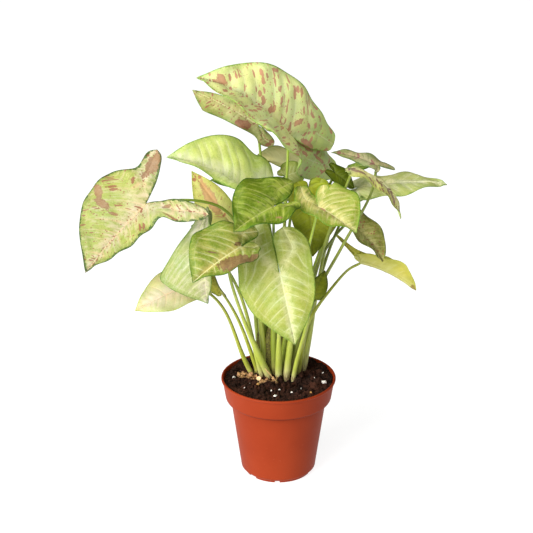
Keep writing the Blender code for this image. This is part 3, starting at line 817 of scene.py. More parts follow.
for name, shells, skin, slot in (
        ("dry_sheaths", [scrap_shell(*scrap) for scrap in SCRAPS],
         dry_skin("dry_sheath", (206, 160, 108), (122, 82, 50)), "potting_soil"),
        # dark olive sheaths: old leaf bases, and painted shade in the gaps between the stalks
        ("old_sheaths_and_shade", [standing_sheath(*sheath) for sheath in STANDING],
         dry_skin("old_sheath", (122, 118, 42), (70, 60, 22)), "leaf_stalk"),
        ("straws", [straw_rod(route) for route in STRAWS],
         dry_skin("straw", (226, 190, 128), (176, 134, 80)), "potting_soil")):
    piece = add_piece(name, mesh_from(name, *joined(shells), skin))
    print(name, "faces:", len(piece.data.polygons))

# %% [markdown]
# The stub's cut face is cream with a tan ring of bark round it. It is a short rod with a slightly hollow
# end, tipped towards the front. Each ring of its points says how near it is to the bark, for the colours.

# %% The cut stem
CUT_FOOT = (-17.4, -6.8, 86.0)
CUT_END = (-18.2, -8.6, 95.9)
CUT_TIP = (-0.2, -0.62, 0.76)   # the way that the cut face looks
CUT_RADIUS = 2.5
CUT_SIDES = 28
CUT_RINGS = (  # depth behind the cut, share of the radius, and 1 for bark or less for the cut face
    (1.6, 1.0, 1.0), (0.3, 1.04, 1.0), (0.0, 0.96, 1.0), (0.1, 0.8, 0.8), (0.35, 0.45, 0.45))
CUT_HOLLOW = 0.4


def cut_skin():
    made, bench, shader, place = new_material("cut_stub", 0.7)
    grain = bench.noise(place, 1500.0, 2.0)
    colour = bench.mix(bench.ramp(grain, 0.3, 0.7), tone(226, 196, 142), tone(246, 226, 180))
    colour = bench.mix(bench.ramp(bench.attribute("out"), 0.72, 0.95), colour, tone(170, 112, 62))
    paint(bench, shader, colour, bench.bump(grain, 0.4, 0.2 * MM))
    return made

# %% Build the cut stem
def make_cut_stem():
    foot, end, facing = Vector(CUT_FOOT), Vector(CUT_END), Vector(CUT_TIP).normalized()
    side = facing.cross(Vector((1.0, 0.0, 0.0))).normalized()
    rings = [(foot, 1.0, 1.0)] + [(end - facing * depth, share, bark) for depth, share, bark in CUT_RINGS]
    points, out = [], []
    for middle, share, bark in rings:
        points += ring_points(middle, side, facing.cross(side), CUT_RADIUS * share, CUT_SIDES)
        out += [bark] * CUT_SIDES
    top, last = len(points) - CUT_SIDES, len(points)
    points += [end - facing * CUT_HOLLOW, foot - UPRIGHT * 0.5]
    faces = tube_faces(len(rings), CUT_SIDES)
    for s in range(CUT_SIDES):
        onward = (s + 1) % CUT_SIDES
        faces += [(top + onward, last, top + s), (s, last + 1, onward)]
    mesh = mesh_from("cut_stub", points, faces, cut_skin())
    point_attribute(mesh, "out", out + [0.0, 1.0])
    return add_piece("cut_stub", mesh, "cut_stem")


print("cut stem:", make_cut_stem().name)

# %% [markdown]
# ## How a leaf is drawn
#
# A blade is easiest to draw flat, as a botanist draws it: the joint with the stalk at 0, the tip at 1, and
# the lobes behind the joint. Each half has its own width, belly and lobe. The flat half is then folded up
# from the midrib, curled back down at its margin, bent along its length and laid between joint and tip.
# The table below is the plain model's own, so each fine blade lies exactly where its plain one does.

# %% The leaves' own measures, in millimetres and degrees
Half = namedtuple("Half", "width belly waist lobe_length lobe_out lobe_width fold curl unfold",
                  defaults=(0,))
Leaf = namedtuple("Leaf", "name joint tip face bend foot lean arrive right left reach via",
                  defaults=(None, 0.4, ()))
LEAVES = (  # a leaf that names only its right half has two alike
    Leaf("top", (9, 10, 324), (-71, -8, 382), (0.58, -0.51, 0.64), 52, (-2, 8.5), 87, 88,
        Half(0.39, 0.30, 0.98, 0.48, 0.30, 0.30, 34, 15),
        Half(0.40, 0.30, 0.90, 0.80, -0.26, 0.34, 32, 10, 40)),
    Leaf("behind_top", (-19, 35, 325), (-77, 45, 354), (0.0, -0.8, 0.6), 30, (-3.5, 15), 86, 80,
        Half(0.14, 0.30, 0.93, 0.30, 0.10, 0.20, 35, 20), Half(0.19, 0.66, 0.80, 0.34, 0.12, 0.20, 0, 25)),
    Leaf("left_pale", (-34, -15, 285), (-97, -28, 317), (0.40, -0.55, 0.72), 48, (-11, 3.5), 82, 75,
        Half(0.49, 0.25, 0.93, 0.40, 0.38, 0.42, 32, 25), Half(0.20, 0.25, 0.93, 0.25, 0.50, 0.20, 50, 55)),
    Leaf("far_left", (-117, -20, 270), (-169, -45, 216), (-0.32, -0.72, 0.61), 15, (-15, 11.5), 70, -5,
        Half(0.56, 0.27, 0.95, 0.54, 0.34, 0.28, 25, 15), Half(0.31, 0.20, 1.05, 0.37, 0.70, 0.26, 24, 18),
        via=((-24, 2, 190), (-33, -5, 236), (-47, -9, 260), (-66, -13, 270), (-90, -17, 273))),
    Leaf("heart", (-5, -45, 278), (-39, -74, 266), (0.07, -0.45, 0.89), 20, (-4.5, 2), 84, 35,
        Half(0.70, 0.25, 0.95, 0.70, 0.26, 0.48, 30, 15), Half(0.56, 0.15, 0.95, 0.42, 0.25, 0.42, 30, 20),
        reach=0.3),
    Leaf("right_lime", (34, -40, 276), (66, -64, 261), (0.0, -0.53, 0.85), 20, (7, -3.5), 82, 72,
        Half(0.40, 0.10, 0.90, 0.72, -0.26, 0.46, 28, 20, 25),
        Half(0.64, 0.45, 0.93, 0.20, 0.45, 0.32, 28, 20)),
    Leaf("front", (1, -50, 217), (14, -74, 160), (0.05, -1.0, 0.45), 25, (0, -4), 80, 62,
        Half(0.585, 0.12, 1.00, 0.84, 0.16, 0.56, 6, 20), Half(0.46, 0.12, 1.00, 0.64, 0.17, 0.54, 6, 20),
        reach=0.45),
    Leaf("left_brown", (-33, -58, 246), (-74, -88, 225), (0.0, -0.575, 0.815), 25, (-8, -4), 78, 35,
        Half(0.57, 0.45, 0.85, 0.42, 0.06, 0.34, 26, 15), Half(0.40, 0.15, 1.00, 0.20, 0.20, 0.32, 26, 15),
        via=((-30, -18, 155), (-43, -36, 208), (-41, -48, 228))),
    Leaf("left_low", (-65, -35, 238), (-62, -60, 193), (-0.3, -0.85, 0.4), 30, (-15, -1), 74, 45,
        Half(0.80, 0.44, 0.58, 0.66, -0.04, 0.34, 10, 20),
        Half(0.35, 0.30, 1.00, 0.68, 0.02, 0.35, 60, 20)),
    Leaf("bottom_pale", (-78, -10, 190), (-128, -28, 172), (-0.2, -0.7, 0.8), 25, (-24, 6), 62, 25,
        Half(0.40, 0.30, 0.93, 0.35, 0.20, 0.30, 10, 20), Half(0.32, 0.40, 0.93, 0.35, 0.15, 0.30, 10, 20)),
    Leaf("back_pink", (-42, 14, 237), (-78, 28, 284), (0.0, -1.0, 0.4), 10, (-14.5, 18), 80, 55,
        Half(0.21, 0.40, 0.93, 0.30, 0.08, 0.20, 8, 20), Half(0.28, 0.40, 0.93, 0.30, 0.15, 0.25, 8, 20)),
    Leaf("long_right", (73, 24, 270), (150, 20, 274), (-0.05, 0.13, 1.0), 18, (17, 15.5), 74, 58,
        Half(0.36, 0.35, 0.93, 0.15, 0.40, 0.25, 0, 25), Half(0.34, 0.50, 0.93, 0.14, 0.20, 0.30, 10, 10)),
    Leaf("droop_pink", (64, -33, 308), (105, -47, 267), (0.7, 0.03, 0.71), 72, (9.5, 3), 76, 68,
        Half(0.28, 0.40, 0.93, 0.10, 0.14, 0.22, 0, 20), Half(0.22, 0.50, 0.93, 0.08, 0.10, 0.20, 0, 20)),
    Leaf("up_right", (86, 2, 299), (46, 18, 305), (0.0, -0.3, 0.9), 30, (16, 10), 74, 62,
        Half(0.24, 0.30, 0.93, 0.36, 0.14, 0.18, 0, 20), Half(0.16, 0.30, 0.93, 0.10, 0.12, 0.20, 0, 20),
        via=((31, 6, 165), (55, -11, 225), (79, -13, 274))),
    Leaf("right_mid", (62, 6, 244), (93, -6, 210), (0.51, -0.54, 0.66), 30, (9.5, 12.5), 72, 48,
        Half(0.30, 0.30, 0.93, 0.30, 0.20, 0.30, 34, 20), Half(0.36, 0.50, 0.93, 0.35, 0.20, 0.35, 30, 20)),
    Leaf("yellow", (74, 10, 203), (124, 0, 180), (0.4, 0.1, 0.9), 30, (17.5, 3), 70, 30,
        Half(0.26, 0.56, 0.62, 0.12, 0.10, 0.14, 75, 10), Half(0.22, 0.40, 0.80, 0.50, 0.40, 0.08, 60, 10),
        via=((25, -6, 144), (33, -2, 161), (44, 2, 176), (61, 8, 195))),
    Leaf("back_olive", (16, 50, 281), (-22, 62, 284), (-0.1, 0.85, 0.5), 20, (-1, 21.8), 84, 78,
        Half(0.22, 0.25, 0.93, 0.30, 0.15, 0.25, 10, 20), Half(0.52, 0.40, 0.93, 0.30, 0.25, 0.35, 10, 20)),
    Leaf("back_tip", (6, 26, 280), (27, 32, 284), (0.0, -0.8, 0.6), 20, (3, 15.5), 88, 85,
        Half(0.55, 0.25, 0.93, 0.30, 0.20, 0.30, 10, 20)),
    Leaf("low_left", (-33, 8, 280), (-61, 9, 282), (0.0, -0.3, 0.95), 20, (-8.5, 9.8), 86, 80,
        Half(0.38, 0.25, 0.93, 0.30, 0.20, 0.30, 10, 20)),
    Leaf("dark_right", (50, 9, 289), (67, 9, 274), (0.1, -0.6, 0.8), 20, (4, 8.5), 76, 66,
        Half(0.40, 0.25, 0.93, 0.40, 0.20, 0.30, 10, 20)),
    Leaf("right_band", (63, 20, 289), (88, 23, 292), (0.0, -0.2, 0.95), 20, (22, 10.5), 80, 70,
        Half(0.26, 0.30, 0.93, 0.08, 0.14, 0.20, 10, 20)),
    Leaf("middle_olive", (26, -2, 279), (30, -14, 218), (0.1, -1.0, -0.1), 12, (2.5, 2.5), 84, 84,
        Half(0.30, 0.25, 0.93, 0.10, 0.16, 0.25, 10, 20), Half(0.46, 0.25, 0.93, 0.12, 0.20, 0.30, 10, 20)),
    Leaf("small_dark", (30, -25, 187), (41, -18, 207), (0.2, -0.9, 0.4), 40, (13.5, -3.5), 78, 80,
        Half(0.40, 0.30, 0.93, 0.25, 0.15, 0.22, 30, 20), Half(0.30, 0.30, 0.93, 0.25, 0.15, 0.22, 30, 20)),
    Leaf("curled_left", (-52, -24, 189), (-59, -28, 213), (-0.6, -0.8, 0.0), 40, (-17.8, 5.5), 68, 55,
        Half(0.30, 0.30, 0.93, 0.25, 0.15, 0.22, 30, 20)),
    Leaf("rear_left", (-46, 58, 220), (-80, 92, 202), (-0.2, 0.3, 0.9), 30, (-8, 19.5), 76, 60,
        Half(0.48, 0.25, 0.93, 0.45, 0.25, 0.35, 15, 20)),
    Leaf("rear", (-12, 78, 236), (-18, 126, 210), (0.0, 0.6, 0.8), 30, (6, 22), 78, 55,
        Half(0.46, 0.25, 0.93, 0.36, 0.25, 0.34, 15, 20)),
    Leaf("rear_right", (50, 62, 223), (92, 94, 201), (0.3, 0.3, 0.9), 30, (12.5, 19.5), 74, 50,
        Half(0.48, 0.25, 0.93, 0.45, 0.25, 0.35, 15, 20)),
)
TOP = LEAVES[0]
print("leaves:", len(LEAVES), "with", TOP.name, "first")

# %% The flat half of a blade
LOBE_ROWS = 22           # rows of faces along a lobe
FRONT_ROWS = 42          # rows of faces from the joint to the tip
COLUMNS = 20             # faces across half a blade
SINUS = 0.001            # how near a lobe's inner margin comes to the middle line
NOTCH_POINT = (0.002, -0.03)
TIP_SHAPE = ((0.84, 0.36), (0.47, 0.68), (0.14, 0.90))  # share of the width, and of the way to the tip


def flat_half(half):
    """Half a blade laid flat, in blade lengths: each grid point's place, and the width of its row."""
    root = np.array([0.5 * half.lobe_width, 0.0])
    end = np.array([half.lobe_out, -half.lobe_length])
    along = (end - root) / np.linalg.norm(end - root)
    outward = np.array([-along[1], along[0]])

    def on_lobe(share, side):
        return root + (end - root) * share + outward * side * half.lobe_width

    w, b, rest = half.width, half.belly, 1.0 - half.belly
    margin = curve_through([
        end, on_lobe(0.88, 0.30), on_lobe(0.5, 0.5), (w * half.waist, 0.0), (w, b),
        *[(wide * w, b + far * rest) for wide, far in TIP_SHAPE], (0.0, 1.0)])
    beside_joint = 3 * (len(margin) - 1) // 8     # the fourth of the nine points
    margin = np.vstack([spaced(margin[:beside_joint + 1], LOBE_ROWS),
                        spaced(margin[beside_joint:], FRONT_ROWS)[1:]])
    inside = [on_lobe(0.88, -0.30), on_lobe(0.45, -0.5)]
    if half.lobe_out >= 0.0:
        inside = [(max(x, SINUS), y) for x, y in inside]
    notch = curve_through([end, *inside, NOTCH_POINT, (0.0, 0.0)])
    midrib = np.stack([np.zeros(FRONT_ROWS + 1), np.linspace(0.0, 1.0, FRONT_ROWS + 1)], axis=-1)
    inner = np.vstack([spaced(notch, LOBE_ROWS), midrib[1:]])
    share = np.linspace(0.0, 1.0, COLUMNS + 1)[None, :, None]
    grid = inner[:, None, :] * (1.0 - share) + margin[:, None, :] * share
    return grid[..., 0], grid[..., 1], np.linalg.norm(margin - inner, axis=1)[:, None]


print("grid of half a blade:", flat_half(TOP.right)[0].shape)

# %% [markdown]
# ## Veins
#
# A syngonium's veins are what make it look alive: a midrib to the tip, one strong vein into each lobe, and
# side veins that leave the midrib steeply and bend towards the tip. They are worked out once, on the flat
# half, and kept on the mesh as attributes. The relief and the colours then both follow the same veins.

# %% Where the veins run
SIDE_VEINS = 7.0         # side veins from the joint to the tip
VEIN_RISE = 0.42         # how far a side vein climbs towards the tip for each step out
VEIN_BEND = 0.75         # how much more it climbs near the margin
VEIN_UNEVEN = 0.17       # how uneven their spacing is
UNEVEN_PACE = 2.3        # how quickly it changes from vein to vein
MAIN_TAPER = 0.62        # how much finer a main vein is at its end


def vein_fields(half, length):
    """For each grid point: millimetres to the nearest main vein and to the margin, and the vein count."""
    across, along, row_width = flat_half(half)
    rows = np.arange(LOBE_ROWS + FRONT_ROWS + 1)[:, None]
    share = np.linspace(0.0, 1.0, COLUMNS + 1)[None, :]
    in_lobe = rows < LOBE_ROWS
    lobe_share = 0.5 * smooth(1.0 - rows / LOBE_ROWS, 0.0, 0.45)
    beside = np.where(in_lobe, (share - lobe_share) * row_width, across)
    out = np.abs(beside)
    inner_side = in_lobe & (beside < 0.0)
    climb = VEIN_RISE * out + VEIN_BEND * out ** 2
    vein = (along - np.where(inner_side, -0.5 * climb, climb)) * SIDE_VEINS
    vein = vein + VEIN_UNEVEN * np.sin(UNEVEN_PACE * vein + 9.0 * half.width)
    to_margin = (1.0 - share) * row_width
    edge = np.where(in_lobe, np.minimum(to_margin, share * row_width), to_margin)
    near_tip = np.clip(1.0 - along, 0.0, 1.0) * 1.2
    taper = np.clip(1.0 - MAIN_TAPER * np.abs(along), 0.3, 1.0)
    return out * length / taper, np.minimum(edge, near_tip) * length, vein


to_margin = vein_fields(TOP.right, 100.0)[1]
print("farthest from the margin, on a half 100 mm long:", round(float(to_margin.max()), 1), "mm")

# %% [markdown]
# ## From flat to folded
#
# A leaf isn't a flat cut-out. The tissue between two side veins swells a little, so the blade looks quilted,
# and its margin has slow waves. Both are moves along the surface's own normal, after the big fold and bend.

# %% Fold, curl and bend half a blade
UNFOLD_SPAN = 0.45       # share of a lobe's length over which it unfolds


def leaf_frame(leaf):
    """The blade's length and its right, forward and up directions."""
    joint, tip = np.array(leaf.joint, float), np.array(leaf.tip, float)
    chord = np.linalg.norm(tip - joint)
    bend = math.radians(leaf.bend)
    forward = (tip - joint) / chord
    up = np.array(leaf.face, float)
    up -= up.dot(forward) * forward
    up /= np.linalg.norm(up)
    return chord * (bend / 2) / math.sin(bend / 2), np.cross(forward, up), forward, up


def half_blade(leaf, half, side):
    """Places one half of a blade: side is 1 for the right half and -1 for the left."""
    length, right, forward, up = leaf_frame(leaf)
    across, along, _ = flat_half(half)
    bend, curl = math.radians(leaf.bend), math.radians(half.curl)
    behind = smooth(np.clip(-along, 0, None) / (UNFOLD_SPAN * half.lobe_length))
    fold = np.radians(half.fold - half.unfold * behind)
    turn = fold - curl * across / half.width
    out = (half.width / curl) * (np.sin(fold) - np.sin(turn))
    rise = (half.width / curl) * (np.cos(turn) - np.cos(fold))
    tilt = bend * np.clip(along, 0, None)
    ahead = np.where(along > 0, np.sin(tilt) / bend, along) + rise * np.sin(tilt)
    height = -(1 - np.cos(tilt)) / bend + rise * np.cos(tilt)
    slope = bend / 2
    ahead, height = (ahead * math.cos(slope) - height * math.sin(slope),
                     ahead * math.sin(slope) + height * math.cos(slope))
    place = side * out[..., None] * right + ahead[..., None] * forward + height[..., None] * up
    return np.array(leaf.joint) + length * place


print("length of the top blade:", round(float(leaf_frame(TOP)[0]), 1), "mm")


# %% Join two halves into one surface
def grid_faces(number, side):
    """Faces between numbered grid points; corners that are the same point are dropped."""
    faces = []
    for r in range(number.shape[0] - 1):
        for c in range(number.shape[1] - 1):
            corners = [number[r, c], number[r, c + 1], number[r + 1, c + 1], number[r + 1, c]]
            corners = [n for k, n in enumerate(corners) if n != corners[k - 1]]
            if len(corners) > 2:
                faces.append(corners if side > 0 else corners[::-1])
    return faces


def blade_surface(leaf):
    """Points, faces and fields of a whole blade, with the midrib shared by its halves."""
    length = leaf_frame(leaf)[0]
    points, faces, midrib = [], [], {}
    fields = {"flat": [], "rib": [], "edge": [], "vein": []}
    for half, side in ((leaf.right, 1.0), (leaf.left or leaf.right, -1.0)):
        across, along, _ = flat_half(half)
        places = half_blade(leaf, half, side)
        rib, edge, vein = vein_fields(half, length)
        number = np.zeros(across.shape, int)
        for r, c in np.ndindex(across.shape):
            on_midrib = (c == 0 and r >= LOBE_ROWS) or r == LOBE_ROWS + FRONT_ROWS
            if on_midrib and r in midrib:
                number[r, c] = midrib[r]
            elif r == 0 and c > 0:
                number[r, c] = number[0, 0]
            else:
                number[r, c] = len(points)
                points.append(places[r, c])
                fields["flat"].append((side * across[r, c] * length, along[r, c] * length, 0.0))
                fields["rib"].append(0.0 if on_midrib else rib[r, c])
                fields["edge"].append(edge[r, c])
                fields["vein"].append(vein[r, c])
            if on_midrib:
                midrib[r] = number[r, c]
        faces += grid_faces(number, side)
    return np.array(points), faces, {name: np.array(values) for name, values in fields.items()}


def surface_normals(points, faces):
    """The average direction of the faces round each point."""
    normals = np.zeros_like(points)
    for size in (3, 4):
        group = np.array([f for f in faces if len(f) == size])
        if not len(group):
            continue
        facing = np.cross(points[group[:, 2]] - points[group[:, 0]],
                          points[group[:, -1]] - points[group[:, 1]])
        for corner in range(size):
            np.add.at(normals, group[:, corner], facing)
    return normals / np.maximum(np.linalg.norm(normals, axis=1), 1e-9)[:, None]


print("faces of the top blade's surface:", len(blade_surface(TOP)[1]))

# %% [markdown]
# ## Relief and thickness
#
# A real blade is about 0.4 mm thick, with its main veins standing out underneath. The surface is thickened
# by hand rather than with a modifier, because the underside needs its own relief: the ribs.

# %% Relief of the upper side, and the closed shell
SKIN = 0.45              # thickness of a blade
QUILT = 0.0075           # swelling between two side veins, by the blade's length
WAVE_REACH = 14.0        # how far in from the margin its waves reach
RIB_GROOVE = 0.55        # how deep the midrib lies on the upper side
GROOVE_WIDTH = 1.6
RIB_RIDGE = 0.9          # how far it stands out underneath
RIDGE_WIDTH = 1.1
SIDE_RIDGE = 0.22        # how far a side vein stands out underneath
SIDE_RIDGE_WIDTH = 0.09  # share of the space between two side veins
DENTS = ((41.0, 0.3), (29.0, 1.9), (19.0, 3.4), (13.0, 5.2))    # length and heading of each wave
DENT_DEPTH = 0.013       # height of a dent for each millimetre of its length


def relief(length, fields, look):
    """Millimetres up from the plain surface at each point of a blade this long."""
    rib, edge, vein, flat = fields["rib"], fields["edge"], fields["vein"], fields["flat"]
    between = np.abs(np.sin(math.pi * vein)) ** 0.8
    open_field = smooth(rib, 0.0, 7.0) * smooth(edge, 0.0, 8.0)
    quilt = look.quilt * QUILT * length * between * open_field
    groove = -RIB_GROOVE * np.exp(-(rib / GROOVE_WIDTH) ** 2)
    near_margin = 1.0 - smooth(edge, 0.0, WAVE_REACH)
    phase = 0.7 * look.seed
    waves = np.sin(flat[:, 1] / look.wave_length * math.tau + phase + 1.7 * np.sign(flat[:, 0]))
    uneven = np.zeros(len(flat))
    for number, (span, heading) in enumerate(DENTS):
        heading += 1.3 * look.seed
        across = flat[:, 0] * math.cos(heading) + flat[:, 1] * math.sin(heading)
        uneven += span * np.sin(across / span * math.tau + 2.4 * number + look.seed)
    return (quilt + groove + look.wave * waves * near_margin * smooth(rib, 2.0, 12.0)
            + DENT_DEPTH * uneven * smooth(rib, 1.0, 9.0) * smooth(edge, 0.0, 3.0))


def thicken(points, faces, normals, fields):
    """A closed shell: the upper side, the underside with its ribs, and the rim between them."""
    ridge = RIB_RIDGE * np.exp(-(fields["rib"] / RIDGE_WIDTH) ** 2)
    to_side_vein = np.abs(fields["vein"] - np.round(fields["vein"]))
    ridge += SIDE_RIDGE * np.exp(-(to_side_vein / SIDE_RIDGE_WIDTH) ** 2) * smooth(fields["edge"], 1.0, 6.0)
    upper = points + normals * SKIN / 2
    under = points - normals * (SKIN / 2 + ridge * smooth(fields["edge"], 0.0, 3.0))[:, None]
    count = len(points)
    lower = [[n + count for n in face[::-1]] for face in faces]
    return np.vstack([upper, under]), faces, lower, rim_faces(faces, count)


print("thickness beside and at the midrib:", SKIN, "and", round(SKIN + RIB_RIDGE, 2), "mm")

# %% [markdown]
# ## What each leaf looks like
#
# No two leaves of this plant are alike. Young ones are lime with pink-brown flecks, older ones are deeper
# green with pale veins, and one has turned yellow. A `Look` holds one leaf's colours and how much of each
# marking it has. Patches are the large tan or pink marks: their places are in blade lengths, to the right
# of the midrib and ahead of the joint.

